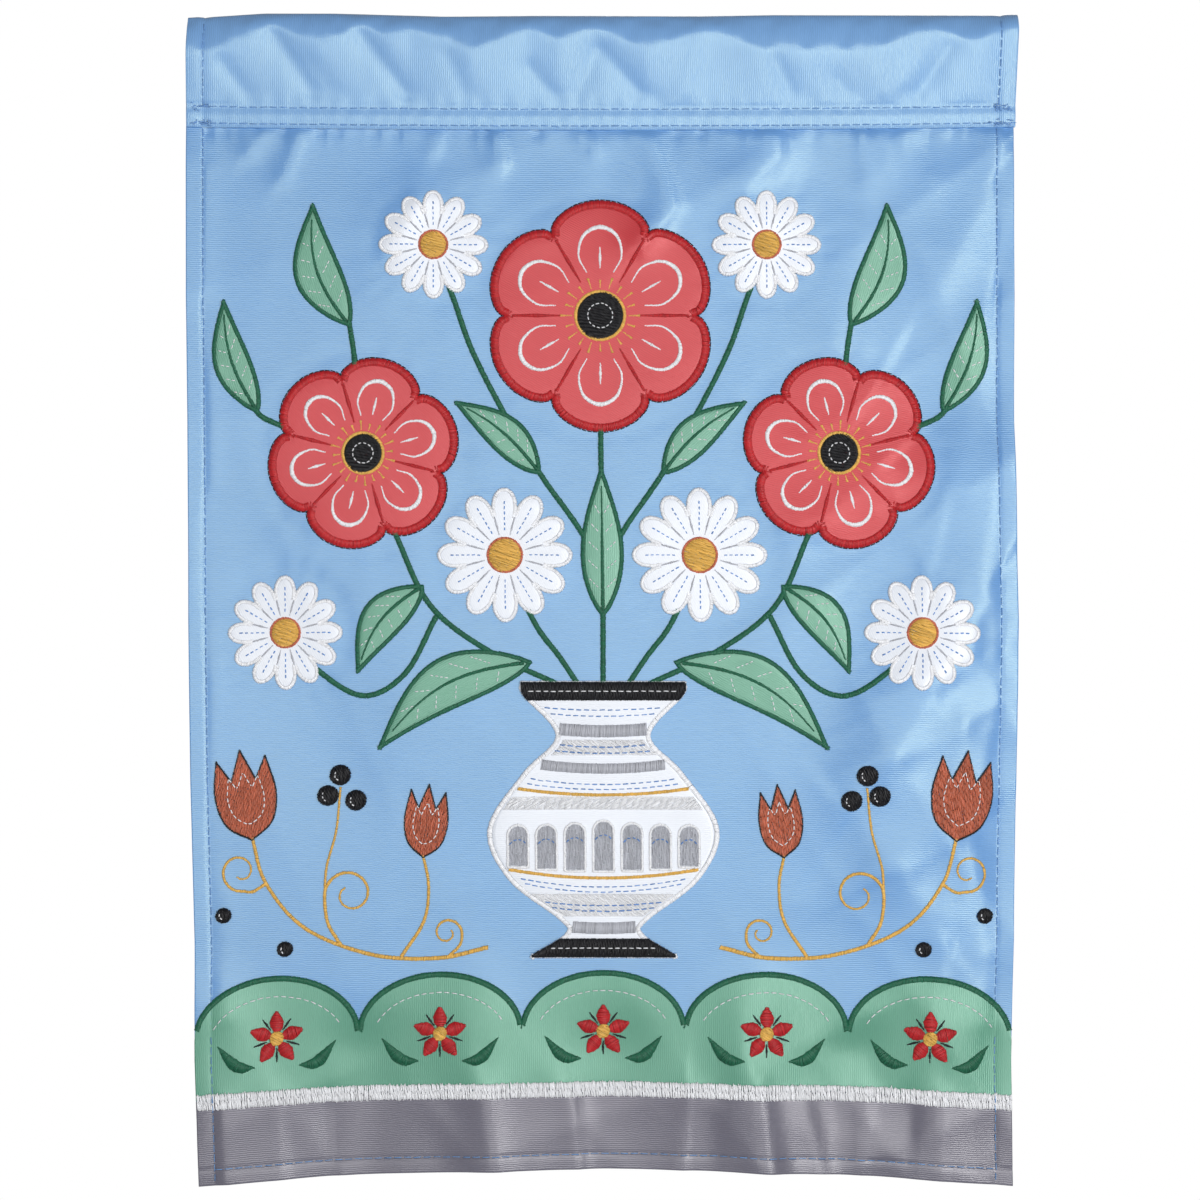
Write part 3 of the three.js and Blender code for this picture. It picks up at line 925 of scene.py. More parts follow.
def thread(name, colour, spread=0.3, roughness=0.34):
    """A glossy embroidery thread in one dye."""
    material = bpy.data.materials.new(name)
    material.use_nodes = True
    tree = material.node_tree
    shader = tree.nodes["Principled BSDF"]
    shader.inputs["Roughness"].default_value = roughness
    shader.inputs["Specular IOR Level"].default_value = 0.55
    uv = new_node(tree, "ShaderNodeUVMap", uv_map="along_thread_mm")
    shade = new_node(tree, "ShaderNodeAttribute", attribute_name="shade")
    twist = new_node(tree, "ShaderNodeGroup", node_tree=TWISTED_THREAD)
    twist.inputs["Dye"].default_value = colour
    twist.inputs["Spread"].default_value = spread
    raised = new_node(tree, "ShaderNodeBump")
    raised.inputs["Strength"].default_value = 0.2
    raised.inputs["Distance"].default_value = 0.00005
    tree.links.new(uv.outputs[0], twist.inputs["Along"])
    tree.links.new(shade.outputs["Fac"], twist.inputs["Shade"])
    tree.links.new(twist.outputs["Color"], shader.inputs["Base Color"])
    tree.links.new(twist.outputs["Height"], raised.inputs["Height"])
    tree.links.new(raised.outputs[0], shader.inputs["Normal"])
    return material


def walk(path, pitch, closed=False):
    """Evenly spaced places on a path, with the unit normals that point out of a closed one."""
    path = np.asarray(path, float)
    if closed:
        path = np.vstack([path, path[:1]])
    steps = np.hypot(*np.diff(path, axis=0).T)
    run = np.concatenate([[0], np.cumsum(steps)])
    count = max(1, int(round(run[-1] / pitch)))
    at = np.linspace(0, run[-1], count + (not closed), endpoint=not closed)
    places = np.column_stack([np.interp(at, run, path[:, i]) for i in (0, 1)])
    reach = max(pitch, 0.5)

    def near(offset):
        where = (at + offset) % run[-1] if closed else np.clip(at + offset, 0, run[-1])
        return np.column_stack([np.interp(where, run, path[:, i]) for i in (0, 1)])

    ahead = near(reach) - near(-reach)
    ahead = ahead / np.maximum(np.hypot(ahead[:, 0], ahead[:, 1]), 1e-6)[:, None]
    normals = np.column_stack([ahead[:, 1], -ahead[:, 0]])
    if closed:
        x, down = path[:-1].T
        turning = float(np.dot(x, np.roll(down, -1)) - np.dot(down, np.roll(x, -1)))
        if turning < 0:
            normals = -normals
    return places, normals


def satin_line(path, widths, pitch=0.4, base=CLOTH_FRONT, lift=0.5):
    """A raised line of stitches across a path, as wide as the widths along it say."""
    places, normals = walk(path, pitch)
    shares = np.linspace(0, 1, len(places))
    half = np.interp(shares, np.linspace(0, 1, len(widths)), widths)[:, None] / 2
    slant = np.column_stack([-normals[:, 1], normals[:, 0]]) * 0.15
    lifts = lift * np.clip(half[:, 0], 0.3, 1.2)
    starts, ends = places + normals * half + slant, places - normals * half - slant
    return stitches(starts, ends, width=SATIN_THREAD, lift=lifts, base=base)


green_thread = thread("Dark green polyester thread", dye(38, 110, 82))

# Places along each stem
STEMS = [
    [(93, 172), (80, 205), (67, 232), (44, 250), (15, 264)],
    [(124, 242), (110, 258), (93, 267), (77, 258), (65, 236)],
    [(38, 212), (27, 238), (17, 252), (9, 264)],
    [(65, 90), (57, 112), (50, 132), (38, 156), (24, 180), (10, 200), (2, 214)],
    [(93, 172), (96, 136), (98, 121)],
    [(93, 172), (128, 160), (136, 154)],
    [(0, 118), (0, 150), (0, 180)],
    [(0, 232), (0, 250), (0, 264)],
]


def outside(places, outline):
    """Which places lie outside an outline."""
    (x, down), (x1, down1) = np.asarray(places).T[..., None], np.asarray(outline).T[:, None]
    x2, down2 = np.roll(x1, -1, axis=1), np.roll(down1, -1, axis=1)
    spans = (down1 > down) != (down2 > down)
    rise = np.where(down2 == down1, 1, down2 - down1)
    return (spans & (x < x1 + (down - down1) * (x2 - x1) / rise)).sum(axis=1) % 2 == 0


# Outlines and middles of all that is sewn over the stems
covers = [(poppy_outlines[name], x, down) for name, x, down, _, _ in POPPIES]
covers += [(outline, x, down) for outline, x, down, _ in daisy_outlines.values()]
covers += [(outline, *outline.mean(axis=0)) for outline, _ in leaf_shapes.values()]
covers += [(vase_outline, 0, 310)]


def bare_runs(path):
    """The stretches of a stem that no sewn-on piece covers."""
    places, _ = walk(curve_through(path), 0.5)
    bare = np.ones(len(places), bool)
    for outline, x, down in covers:
        bare &= outside(places, (x, down) + (outline - (x, down)) * COVER_SHARE)
    breaks = np.flatnonzero(np.diff(bare)) + 1
    runs = zip(np.split(places, breaks), np.split(bare, breaks))
    return [run for run, shows in runs if shows[0] and len(run) > 3]


stem_runs = []
for points in STEMS:
    for path in (points, mirrored(points)) if points[0][0] else (points,):
        stem_runs += bare_runs(path)
stem_rows = [satin_line(run, [STEM_WIDTH, STEM_WIDTH]) for run in stem_runs]
sew("stems_satin", green_thread, stem_rows)


# Poppy stitching
# A wide red satin edge with a thin black outline round each red flower, a white satin arch on
# every petal, darker lines between the petals, and a black filled eye in a ring of gold.

POPPY_EYE = 0.21

# Share of the radius and angle of the places along a petal's arch
PETAL_ARCH = [(0.4, -0.3), (0.56, -0.34), (0.72, -0.2), (0.78, 0), (0.72, 0.2), (0.56, 0.34), (0.4, 0.3)]


def satin(path, outer, inner, closed=True, pitch=0.37, base=CLOTH_FRONT, base_end=PIECE_FRONT, lift=0.4):
    """Stitches side by side across an edge, reaching outer beyond it and inner within it."""
    places, normals = walk(path, pitch, closed)
    slant = np.column_stack([-normals[:, 1], normals[:, 0]]) * 0.2
    starts, ends = places + normals * outer + slant, places - normals * inner - slant
    return stitches(starts, ends, width=SATIN_THREAD, lift=lift, base=base, base_end=base_end)


def running(path, length=2.6, gap=0.5, closed=False, base=CLOTH_FRONT, width=THREAD, lift=0.22):
    """Stitches end to end along a path."""
    places, _ = walk(path, length + gap, closed)
    if closed:
        following = np.roll(places, -1, axis=0)
    else:
        places, following = places[:-1], places[1:]
    step = following - places
    share = length / (length + gap)
    return stitches(places, places + step * share, width=width, lift=lift, base=base)


def filled(
    outline, degrees, pitch=0.46, length=4.6, base=CLOTH_FRONT, lift=0.3, inset=0.3,
    width=SATIN_THREAD, overlap=0.15,
):
    """Rows of stitches that fill an outline, their ends staggered from row to row."""
    turn = math.radians(degrees)
    to_row = np.array([[math.cos(turn), -math.sin(turn)], [math.sin(turn), math.cos(turn)]])
    points = np.asarray(outline) @ to_row
    starts, ends = [], []
    following = np.roll(points, -1, axis=0)
    levels = np.arange(points[:, 1].min() + pitch / 2, points[:, 1].max(), pitch)
    for row, level in enumerate(levels, 1):
        crosses = (points[:, 1] <= level) != (following[:, 1] <= level)
        a, b = points[crosses], following[crosses]
        hits = np.sort(a[:, 0] + (level - a[:, 1]) / (b[:, 1] - a[:, 1]) * (b[:, 0] - a[:, 0]))
        for low, high in zip(hits[::2], hits[1::2]):
            low, high = low + inset, high - inset
            if high - low < 0.6:
                continue
            cuts = np.arange(low - length * ((row * 0.381) % 1), high, length)
            cuts = cuts + draw.uniform(-0.5, 0.5, len(cuts))
            cuts = [low] + [c for c in cuts if low + 0.8 < c < high - 0.8] + [high]
            for one, two in zip(cuts, cuts[1:]):
                starts.append((max(one - overlap, low), level))
                ends.append((min(two + overlap, high), level))
    back = to_row.T
    return stitches(np.array(starts) @ back, np.array(ends) @ back, lift=lift, base=base, width=width)


def disc(x, down, radius, points=40):
    """The outline of a round patch."""
    angle = np.linspace(0, 2 * math.pi, points, endpoint=False)
    return np.column_stack([x + radius * np.sin(angle), down - radius * np.cos(angle)])


def ray(x, down, angle, low, high, points=8):
    """Places on a straight line that leads away from a middle."""
    reach = np.linspace(low, high, points)
    return np.column_stack([x + reach * math.sin(angle), down - reach * math.cos(angle)])


white_thread = thread("White polyester thread", dye(250, 251, 254), spread=0.1)
red_thread = thread("Red polyester thread", dye(196, 40, 46))
gold_thread = thread("Gold polyester thread", dye(236, 190, 96))
black_thread = thread("Black polyester thread", dye(26, 26, 30), spread=0.6)

red_rows, petal_rows, eye_rows, gold_rows, ring_rows = [], [], [], [], []
petal_lines = []
for name, x, down, radius, turn in POPPIES:
    red_rows.append(satin(poppy_outlines[name], 0.9, 2.5))
    places, normals = walk(poppy_outlines[name], 0.8, True)
    eye_rows.append(running(places + normals * 1.0, 2.2, 0.0, True, width=0.42, lift=0.2))
    for k in range(6):
        between = turn + (k + 0.5) * math.pi / 3
        middle = turn + k * math.pi / 3
        line = ray(x, down, between, 0.34 * radius, 0.76 * radius)
        red_rows.append(satin_line(line, [0.8, 1.8, 1.2], base=PIECE_FRONT))
        arch = np.vstack([ray(x, down, middle + a, r * radius, r * radius, 1) for r, a in PETAL_ARCH])
        petal_lines.append(curve_through(arch, 6))
        petal_rows.append(satin_line(petal_lines[-1], [0.7, 1.3, 2.1, 1.3, 0.7], base=PIECE_FRONT))
        line = ray(x, down, middle, 0.42 * radius, 0.6 * radius)
        petal_rows.append(satin_line(line, [0.6, 1.5, 0.6], base=PIECE_FRONT))
    eye = disc(x, down, POPPY_EYE * radius)
    eye_rows.append(filled(eye, 120, base=PIECE_FRONT - 0.1, length=3.4, pitch=0.4))
    eye_rows.append(filled(eye, 30, base=PIECE_FRONT + 0.2, length=3.4, pitch=0.42))
    gold_rows.append(satin(eye, 0.9, 0.7, base=PIECE_FRONT, base_end=PIECE_FRONT))
    for k in range(20):
        line = ray(x, down, turn + k * math.pi / 10, 0.25 * radius, (0.31 + 0.03 * (k % 2)) * radius)
        gold_rows.append(satin_line(line, [0.5, 0.7, 1.3], base=PIECE_FRONT))
    ring_rows.append(running(disc(x, down, 0.11 * radius), 1.5, 0.4, True, base=PIECE_FRONT + 0.65))
sew("poppy_satin_edges", red_thread, red_rows)
sew("poppy_petal_arches", white_thread, petal_rows)
sew("poppy_eyes", black_thread, eye_rows)
sew("poppy_gold_rings", gold_thread, gold_rows)
sew("poppy_eye_rings", white_thread, ring_rows)


# Daisy stitching
# White satin round the petals, silver lines between them, a blue running stitch along each one,
# and a gold satin button with a rust brown rim.

DAISY_BUTTON = 0.25
silver_thread = thread("Silver grey polyester thread", dye(192, 194, 202), spread=0.25)
blue_thread = thread("Blue polyester thread", dye(96, 146, 214))
brown_thread = thread("Rust brown polyester thread", dye(206, 116, 88), spread=0.4)

edge_rows, silver_rows, blue_rows, button_rows, rim_rows = [], [], [], [], []
for outline, x, down, radius in daisy_outlines.values():
    edge_rows.append(satin(outline, 0.6, 1.1, pitch=0.42))
    for k in range(12):
        between = (k + 0.5) * math.pi / 6
        middle = k * math.pi / 6
        line = ray(x, down, between, 0.32 * radius, 0.58 * radius)
        silver_rows.append(satin_line(line, [0.5, 1.1, 0.7], base=PIECE_FRONT))
        line = ray(x, down, middle, 0.36 * radius, 0.84 * radius)
        blue_rows.append(running(line, 1.7, 0.5, base=PIECE_FRONT))
    button = disc(x, down, DAISY_BUTTON * radius)
    button_rows.append(filled(button, 20, pitch=0.42, length=9, base=PIECE_FRONT, lift=0.6, inset=0.1))
    rim_rows.append(satin(button, 0.8, 0.5, base=PIECE_FRONT, base_end=PIECE_FRONT))
sew("daisy_satin_edges", white_thread, edge_rows)
sew("daisy_silver_lines", silver_thread, silver_rows)
sew("daisy_running_lines", blue_thread, blue_rows)
sew("daisy_buttons", gold_thread, button_rows)
sew("daisy_button_rims", brown_thread, rim_rows)


# Leaf stitching
# Dark green satin round each leaf and along its middle, with side veins in running stitch.

leaf_rows, vein_rows = [], []
for outline, axis in leaf_shapes.values():
    leaf_rows.append(satin(outline, 0.6, 1.3))
    leaf_rows.append(satin_line(axis[1:-2], [1.7, 1.5, 0.7], base=PIECE_FRONT))
    count = len(axis)
    for at in range(4, count - 6, 3):
        here = axis[at]
        for edge in (outline[at + 3], outline[(2 * count - at - 3) % len(outline)]):
            vein = [here + (edge - here) * share for share in (0.22, 0.74)]
            vein_rows.append(running(vein, 1.6, 0.4, base=PIECE_FRONT))
sew("leaf_satin_edges", green_thread, leaf_rows)
sew("leaf_side_veins", white_thread, vein_rows)


# Vase stitching
# White satin round the vase, black filled rim and foot, silver arches on the belly between gold
# lines, and double rows of blue running stitch.

ARCH_PITCH = 11.2
white_rows, black_rows, silver_rows, gold_rows, blue_rows = [], [], [], [], []

# down, bow, and how far above the cloth the running stitches lie
VASE_ROWS = [
    (272, 1, 0),
    (274.4, 1, 0),
    (286.6, 1, 0.4),
    (289, 1, 0.4),
    (300, 2.4, 0),
    (302, 2.4, 0),
    (339.6, 3.5, 0),
    (341.6, 3.5, 0),
    (349, 1.5, 0.4),
    (351.2, 1.5, 0.4),
]


def vase_half(down):
    """Half the vase's width at a height."""
    return float(np.interp(down, profile[:, 1], profile[:, 0]))


def level_line(down, share=0.93, bow=0.0, points=24):
    """A line across the vase, bowed a little downwards."""
    across = np.linspace(-1, 1, points)
    return np.column_stack([across * vase_half(down) * share, down + bow * (1 - across**2)])


def vase_patch(upper, lower, inset):
    """A stretch of the vase between two heights, a little narrower than the vase."""
    downs = np.linspace(upper, lower, 9)
    halves = np.array([vase_half(down) for down in downs]) - inset
    return np.vstack([np.column_stack([halves, downs]), np.column_stack([-halves, downs])[::-1]])


white_rows.append(satin(vase_outline, 0.7, 1.5))
for upper, lower in ((262.4, 268.6), (364.2, 370.6)):
    patch = vase_patch(upper, lower, 0)
    over_edge = PIECE_FRONT + 0.35
    black_rows.append(filled(patch, 90, length=9, pitch=0.4, base=over_edge, inset=-0.7, lift=0.4))
    white_rows.append(running(level_line((upper + lower) / 2, 0.92), 2.2, 0.7, base=over_edge + 0.6))
for down, bow in ((304, 2.5), (336, 3.5)):
    gold_rows.append(satin_line(level_line(down, 0.93, bow), [1.6, 1.6], base=PIECE_FRONT))
for down, bow, above in VASE_ROWS:
    blue_rows.append(running(level_line(down, 0.88, bow), 2.4, 0.6, base=PIECE_FRONT + above))
for down, share, bow, width in ((280.5, 0.9, 0.8, 5.2), (359, 0.86, 0.5, 5), (294.5, 0.86, 1.6, 4.4)):
    band = level_line(down, share, bow)
    silver_rows.append(satin_line(band, [width, width], base=PIECE_FRONT, lift=0.35))
for k in range(-3, 4):
    x = k * ARCH_PITCH
    foot = 333.5 + 3.3 * (1 - (k / 4) ** 2)
    tall = 20 - 1.2 * abs(k)
    angle = np.linspace(0, math.pi, 13)
    arch = np.vstack([
        np.column_stack([x - 3.9 * np.cos(angle), foot - tall + 4 - 4 * np.sin(angle)]),
        [(x + 3.9, foot), (x - 3.9, foot)],
    ])
    silver_rows.append(filled(arch, 90, base=PIECE_FRONT, length=3.8, pitch=0.44))
    white_rows.append(satin(arch, 0.8, 0.5, base=PIECE_FRONT, base_end=PIECE_FRONT, lift=0.7))
    blue_rows.append(running(arch[2:11] + (0, 5.5), 1.6, 0.4, base=PIECE_FRONT + 0.35))
for upper, lower, slope in ((284.5, 291, 34), (345.5, 355, 34), (307, 312.5, 150)):
    white_rows.append(filled(vase_patch(upper, lower, 2.2), slope, length=4.2, pitch=0.5, base=PIECE_FRONT))
sew("vase_white_stitching", white_thread, white_rows)
sew("vase_black_rim_and_foot", black_thread, black_rows)
sew("vase_silver_fillings", silver_thread, silver_rows)
sew("vase_gold_lines", gold_thread, gold_rows)
sew("vase_running_rows", blue_thread, blue_rows)


# Scrolls, buds and berries beside the vase
# Sewn straight on the ground cloth: thin gold scrolls, rust brown filled buds with a dark
# outline, and black satin berries.


def curl(x, down, radius, start, turn):
    """A spiral that tightens towards its end, its angles in degrees."""
    angle = np.radians(np.linspace(start, start + turn, 14))
    reach = radius * np.linspace(1, 0.32, 14)
    return list(zip(x + reach * np.cos(angle), down + reach * np.sin(angle)))


# Places along each scroll, and its widths
SCROLLS = [
    ([(46, 367), (66, 371), (92, 369), (118, 358), (133, 340), (138, 322)], [2.0, 1.8, 1.6]),
    ([(104, 365), (109, 356), *curl(100, 345, 10, 0, -410)], [1.7, 1.5, 1.0]),
    ([(80, 370), (71, 356), (69, 342), (71, 330)], [1.7, 1.5, 1.4]),
    ([(62, 371), (57, 366), *curl(62, 361, 6, 170, 400)], [1.5, 1.3, 0.9]),
    ([(110, 345), (109, 334), (105, 320), (103, 303)], [1.3, 1.1]),
    ([(133, 340), (138, 343), *curl(143, 335, 8, 100, -400)], [1.5, 1.3, 0.9]),
]

# x and down of the foot, width, height, lean
BUDS = [(138, 323, 24, 33, 0.12), (71, 331, 17, 27, -0.1)]

# x, down, radius
BERRIES = [(97, 308, 4.2), (108, 306, 4.2), (103, 298, 4.2), (150, 352, 3.2), (126, 366, 3.2)]


def bud_outline(x, foot, width, tall, lean):
    """A bud with three points at its top."""
    half = width / 2
    side = [(0, 0), (-half * 0.75, -tall * 0.2), (-half, -tall * 0.55), (-half * 0.8, -tall * 0.98)]
    points = curve_through(side, 6)
    crown = [(-half * 0.4, -tall * 0.72), (0, -tall * 1.08), (half * 0.4, -tall * 0.72)]
    left = points[:-1]
    shape = np.vstack([left, points[-1:], crown, points[-1:] * (-1, 1), left[:0:-1] * (-1, 1)])
    turn = np.array([[math.cos(lean), math.sin(lean)], [-math.sin(lean), math.cos(lean)]])
    return shape @ turn + (x, foot)


scroll_rows, bud_rows, outline_rows, berry_rows, glint_rows = [], [], [], [], []
scroll_lines, bud_outlines, berry_outlines = [], [], []
for points, widths in SCROLLS:
    for path in (points, mirrored(points)):
        ordered = widths if path is points else widths[::-1]
        scroll_lines.append(curve_through(path))
        scroll_rows.append(satin_line(scroll_lines[-1], ordered))
for x, foot, width, tall, lean in BUDS:
    right = bud_outline(x, foot, width, tall, lean)
    for outline, slope in ((right, 78), (mirrored(right), 102)):
        outline_rows.append(filled(outline, slope + 60, length=4.8, pitch=1.1, base=CLOTH_FRONT - 0.15))
        bud_rows.append(filled(outline, slope, length=4.4, pitch=0.5, base=CLOTH_FRONT + 0.22))
        outline_rows.append(satin(outline, 0.35, 0.55, base=CLOTH_FRONT, base_end=CLOTH_FRONT, lift=0.6))
        bud_outlines.append(outline)
        centre = outline.mean(axis=0)
        glint_rows.append(running(centre + (outline - centre) * 0.6, 1.9, 0.5, True, base=CLOTH_FRONT + 0.6))
for x, down, radius in BERRIES:
    for side in (-1, 1):
        berry = disc(side * x, down, radius)
        berry_outlines.append(berry)
        berry_rows.append(filled(berry, 70, pitch=0.42, length=10, lift=0.8, inset=0))
        glint = disc(side * x, down, radius * 0.55)[22:36]
        glint_rows.append(running(glint, 1.2, 0.3, base=CLOTH_FRONT + 0.8))
sew("gold_scrolls", gold_thread, scroll_rows)
sew("rust_buds", brown_thread, bud_rows)
sew("bud_outlines", black_thread, outline_rows)
sew("black_berries", black_thread, berry_rows)
sew("bud_and_berry_highlights", white_thread, glint_rows)


# Border stitching
# Dark green satin along the scallops, an uneven white satin band over the seam between green
# and grey, and on each scallop a small red flower with two leaves.

BAND_TOP = 421.2
BAND_FOOT = 427.6

edge_x = np.linspace(-SIDE + 0.5, SIDE - 0.5, 900)
scallop_path = np.column_stack([edge_x, scallop_edge(edge_x)])
scallop_rows = [satin(scallop_path, 0.8, 1.7, closed=False)]
echo_rows, small_red, small_gold, small_black = [], [], [], []
small_lines = []
for k in range(SCALLOP_COUNT):
    x = -SIDE + (k + 0.5) * SCALLOP_WIDTH
    centre = (x, 401)
    across = np.linspace(-25, 25, 40)
    arch = np.column_stack([x + across, 384.5 + 19 * (1 - np.sqrt(1 - (across / 27) ** 2))])
    echo_rows.append(running(arch, 2.4, 0.7, base=STRIP_FRONT))
    for petal in range(5):
        angle = petal * 2 * math.pi / 5
        small_lines.append(ray(*centre, angle, 2.4, 10.5))
        petal_widths = [2.4, 5.2, 6.0, 4.2, 1.6]
        small_red.append(satin_line(small_lines[-1], petal_widths, base=STRIP_FRONT, lift=0.35))
        between = ray(*centre, angle + math.pi / 5, 4.2, 9.2)
        small_black.append(satin_line(between, [0.5, 1.2, 0.5], base=STRIP_FRONT))
    button = disc(*centre, 2.9)
    small_gold.append(filled(button, 30, pitch=0.42, length=9, base=STRIP_FRONT, lift=0.8, inset=0))
    for side in (-1, 1):
        leaf = curve_through([(x + side * 9, 412), (x + side * 16, 411), (x + side * 23, 403)], 6)
        small_lines.append(leaf)
        scallop_rows.append(satin_line(leaf, [0.8, 4.4, 5.0, 3.0, 0.6], base=STRIP_FRONT, lift=0.4))
sew("scallop_satin", green_thread, scallop_rows)
sew("scallop_echo_rows", white_thread, echo_rows)
sew("small_red_flowers", red_thread, small_red)
sew("small_flower_buttons", gold_thread, small_gold)
sew("small_flower_rays", black_thread, small_black)

band_x = np.arange(-SIDE + 0.4, SIDE - 0.4, 0.42)
band_x = band_x + draw.normal(0, 0.07, len(band_x))
band_top = BAND_TOP + draw.normal(0, 0.2, len(band_x))
band_split = (BAND_TOP + BAND_FOOT) / 2 + draw.uniform(-1.3, 1.3, len(band_x))
band_foot = BAND_FOOT + draw.normal(0, 0.2, len(band_x))
band_rows = [
    stitches(
        np.column_stack([band_x, upper]), np.column_stack([band_x + 0.3, lower]),
        width=0.5, lift=0.45, base=STRIP_FRONT,
    )
    for upper, lower in ((band_top, band_split + 0.3), (band_split - 0.3, band_foot))
]
sew("white_seam_band", white_thread, band_rows)


# Hem and sleeve stitching
# One lockstitch row holds each hem and two hold the sleeve, in light blue thread, with a knot
# of back stitches where the rows end.

HEM_STITCH = 3.2
HEM_GAP = 0.7
HEM_THREAD = 0.37
HEM_LIFT = 0.22
SLEEVE_FACE = 0.43
SLEEVE_THREAD = 0.38
KNOT_STITCHES = 16
hem_thread = thread("Light blue sewing thread", dye(124, 170, 226))
hem_x = SIDE - HEM_ROW
foot_down = FLAG_DROP - LOWER_HEM_ROW


def seam_row(start, end, base, width=HEM_THREAD, lift=HEM_LIFT):
    """A straight row of lockstitch."""
    return running([start, end], HEM_STITCH, HEM_GAP, base=base, width=width, lift=lift)


hem_rows = []
for side in (-1, 1):
    top, middle, foot = ((side * hem_x, down) for down in (45, 399, 456))
    hem_rows.append(seam_row(top, middle, CLOTH_FRONT + 0.3))
    hem_rows.append(seam_row(middle, foot, STRIP_FRONT + 0.3))
    hem_rows.append(seam_row(top, foot, HEM_BACK + 0.1, lift=-HEM_LIFT))
for base, lift in ((STRIP_FRONT + 0.3, HEM_LIFT), (HEM_BACK + 0.1, -HEM_LIFT)):
    hem_rows.append(seam_row((-hem_x, foot_down), (hem_x, foot_down), base, lift=lift))
sew("hem_rows", hem_thread, hem_rows, wander=0.07)


def run_of(down):
    """How far up the sleeve's front a place lies."""
    return float(np.interp(1 - down, SLEEVE_PATH[:12, 1], SLEEVE_RUN[:12]))


sleeve_rows_sewn = []
for row in SLEEVE_ROWS:
    for run in (run_of(row), SLEEVE_LENGTH - run_of(row)):
        start, end = (-SIDE + 1, run), (SIDE - 1, run)
        sleeve_rows_sewn.append(seam_row(start, end, SLEEVE_FACE, SLEEVE_THREAD))
for side in (-1, 1):
    for low, high in ((run_of(36), run_of(3)), (SLEEVE_LENGTH - run_of(3), SLEEVE_LENGTH - run_of(36))):
        start, end = (side * hem_x, low), (side * hem_x, high)
        sleeve_rows_sewn.append(seam_row(start, end, SLEEVE_FACE, SLEEVE_THREAD))
    for row in SLEEVE_ROWS:
        knot_x = side * (SIDE - draw.uniform(1.5, 9, KNOT_STITCHES))
        knot_run = run_of(row) + draw.normal(0, 0.5, KNOT_STITCHES)
        end_x = knot_x + draw.uniform(-3, 3, KNOT_STITCHES)
        end_run = knot_run + draw.normal(0, 0.7, KNOT_STITCHES)
        starts, ends = np.column_stack([knot_x, knot_run]), np.column_stack([end_x, end_run])
        sleeve_rows_sewn.append(stitches(starts, ends, SLEEVE_THREAD, 0.6, SLEEVE_FACE + 0.12))
sew("sleeve_rows", hem_thread, sleeve_rows_sewn, place=over_rod, wander=0.07)


# Thread on the back
# The under thread shows behind all that is sewn, as narrow rows of white stitches along the
# edges and lines, and as thin patches behind the filled pieces.

UNDER_PITCH = 1.1
UNDER_RISE = -0.2


def under_line(path, width):
    """The under thread of a satin line."""
    return satin_line(path, [width, width], pitch=1.2, base=CLOTH_BACK, lift=2 * UNDER_RISE)


def under_edge(outline, outer, inner, closed=True):
    """The under thread of a satin edge."""
    return satin(
        outline, outer, inner, closed=closed, pitch=UNDER_PITCH,
        base=CLOTH_BACK, base_end=CLOTH_BACK, lift=UNDER_RISE,
    )


back_outlines = list(poppy_outlines.values()) + [row[0] for row in daisy_outlines.values()]
back_outlines += [row[0] for row in leaf_shapes.values()] + [vase_outline]
edge_rows = [under_edge(outline, -0.4, 1.4) for outline in back_outlines]
edge_rows.append(under_edge(scallop_path, 0.0, 1.2, closed=False))
sew("under_thread_of_edges", white_thread, edge_rows)

line_rows = [under_line(path, 1.0) for path in stem_runs + scroll_lines + petal_lines]
line_rows += [under_line(path, 2.6) for path in small_lines]
line_rows += [under_line(axis[1:-2], 0.9) for _, axis in leaf_shapes.values()]
band_middle = np.full_like(edge_x, (BAND_TOP + BAND_FOOT) / 2)
line_rows.append(under_line(np.column_stack([edge_x, band_middle]), 3.6))
patches = bud_outlines + berry_outlines
patches += [disc(x, down, POPPY_EYE * radius) for _, x, down, radius, _ in POPPIES]
patches += [disc(x, down, DAISY_BUTTON * radius) for _, x, down, radius in daisy_outlines.values()]
patches += [vase_patch(upper, lower, 1.5) for upper, lower in ((263.5, 267.5), (365.2, 369.8))]
for patch in patches:
    under_patch = filled(patch, 70, pitch=UNDER_PITCH, base=CLOTH_BACK, lift=UNDER_RISE, inset=0.5)
    line_rows.append(under_patch)
sew("under_thread_of_lines", white_thread, line_rows)


# Studio
# A plain pale floor below the hanging flag. A large soft light stands in front, a narrower one at
# the right draws the gleams along the creases, and one behind lights the back. The surround is
# white to the camera, and lights the flag less from above than from the sides.

FLAG_MIDDLE = (0, 0, -0.23)

bpy.ops.mesh.primitive_plane_add(size=1, location=(0, -0.1, -0.56))
floor = bpy.context.object
floor.name = "studio_floor"
floor.scale = (2.4, 0.9, 1)
pale = bpy.data.materials.new("Pale studio floor")
pale.use_nodes = True
floor_shader = pale.node_tree.nodes["Principled BSDF"]
floor_shader.inputs["Base Color"].default_value = (0.8, 0.8, 0.8, 1)
floor_shader.inputs["Roughness"].default_value = 0.9
floor.data.materials.append(pale)


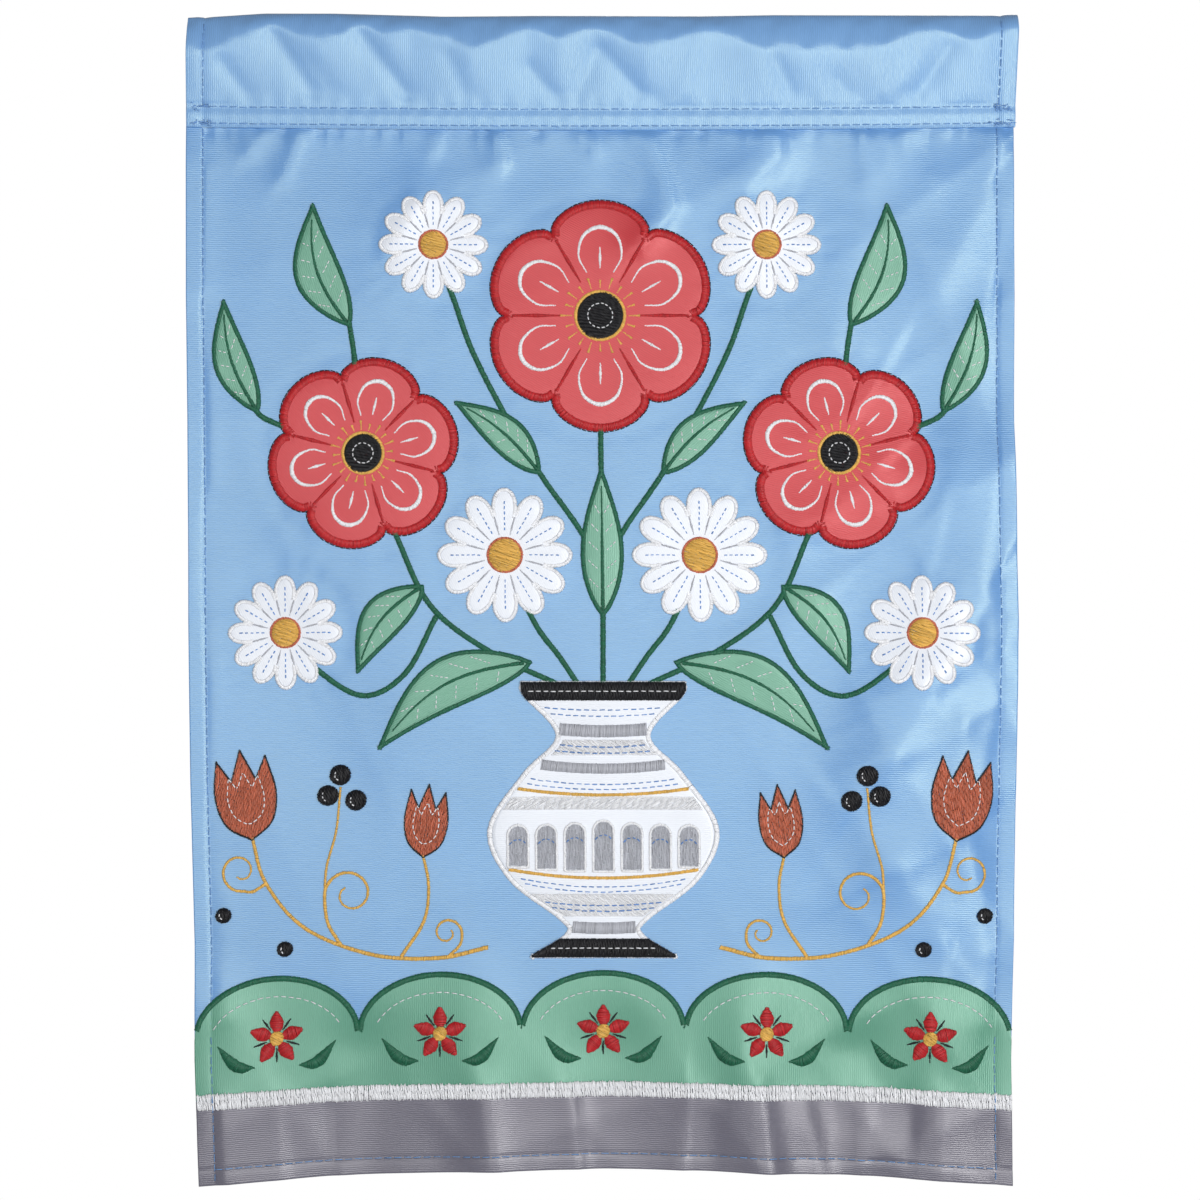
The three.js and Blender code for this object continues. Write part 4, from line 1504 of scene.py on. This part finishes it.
def soft_light(name, place, width, height, power):
    """A soft rectangular light that faces the middle of the flag."""
    light = bpy.data.lights.new(name, "AREA")
    light.shape = "RECTANGLE"
    light.size = width
    light.size_y = height
    light.energy = power
    lamp = bpy.data.objects.new(name, light)
    lamp.location = place
    toward = np.array(FLAG_MIDDLE) - np.array(place)
    lamp.rotation_euler = (
        math.acos(-toward[2] / np.linalg.norm(toward)),
        0,
        math.atan2(toward[1], toward[0]) - math.pi / 2,
    )
    bpy.context.scene.collection.objects.link(lamp)


soft_light("front_softbox", (-0.1, -1.7, -0.2), width=1.0, height=1.4, power=9.6)
soft_light("right_softbox", (0.6, -1.2, -0.23), width=0.42, height=1.2, power=8.2)
soft_light("back_softbox", (0.5, 1.5, 0.0), width=1.2, height=1.2, power=14)

world = bpy.data.worlds.new("White surround")
world.use_nodes = True
tree = world.node_tree
seen = tree.nodes["Background"]
seen.inputs["Color"].default_value = (1, 1, 1, 1)
seen.inputs["Strength"].default_value = 1.0
fill = new_node(tree, "ShaderNodeBackground")
fill.inputs["Color"].default_value = (1, 1, 1, 1)
toward = new_node(tree, "ShaderNodeSeparateXYZ")
dimmer = new_node(tree, "ShaderNodeMapRange")
for name, value in (("From Min", 0.0), ("From Max", 0.9), ("To Min", 0.38), ("To Max", 0.16)):
    dimmer.inputs[name].default_value = value
tree.links.new(new_node(tree, "ShaderNodeTexCoord").outputs["Generated"], toward.inputs[0])
tree.links.new(toward.outputs[2], dimmer.inputs["Value"])
tree.links.new(dimmer.outputs["Result"], fill.inputs["Strength"])
ray_kind = new_node(tree, "ShaderNodeLightPath")
choose = new_node(tree, "ShaderNodeMixShader")
tree.links.new(ray_kind.outputs["Is Camera Ray"], choose.inputs[0])
tree.links.new(fill.outputs[0], choose.inputs[1])
tree.links.new(seen.outputs[0], choose.inputs[2])
tree.links.new(choose.outputs[0], tree.nodes["World Output"].inputs["Surface"])
bpy.context.scene.world = world
bpy.context.scene.view_settings.view_transform = "Standard"

camera_data = bpy.data.cameras.new("photo_camera")
camera_data.lens = 100
camera_data.sensor_width = 36
camera = bpy.data.objects.new("photo_camera", camera_data)
camera.location = (-0.001, -1.3, -0.2279)
camera.rotation_euler = (math.pi / 2, 0, 0)
bpy.context.scene.collection.objects.link(camera)
bpy.context.scene.camera = camera
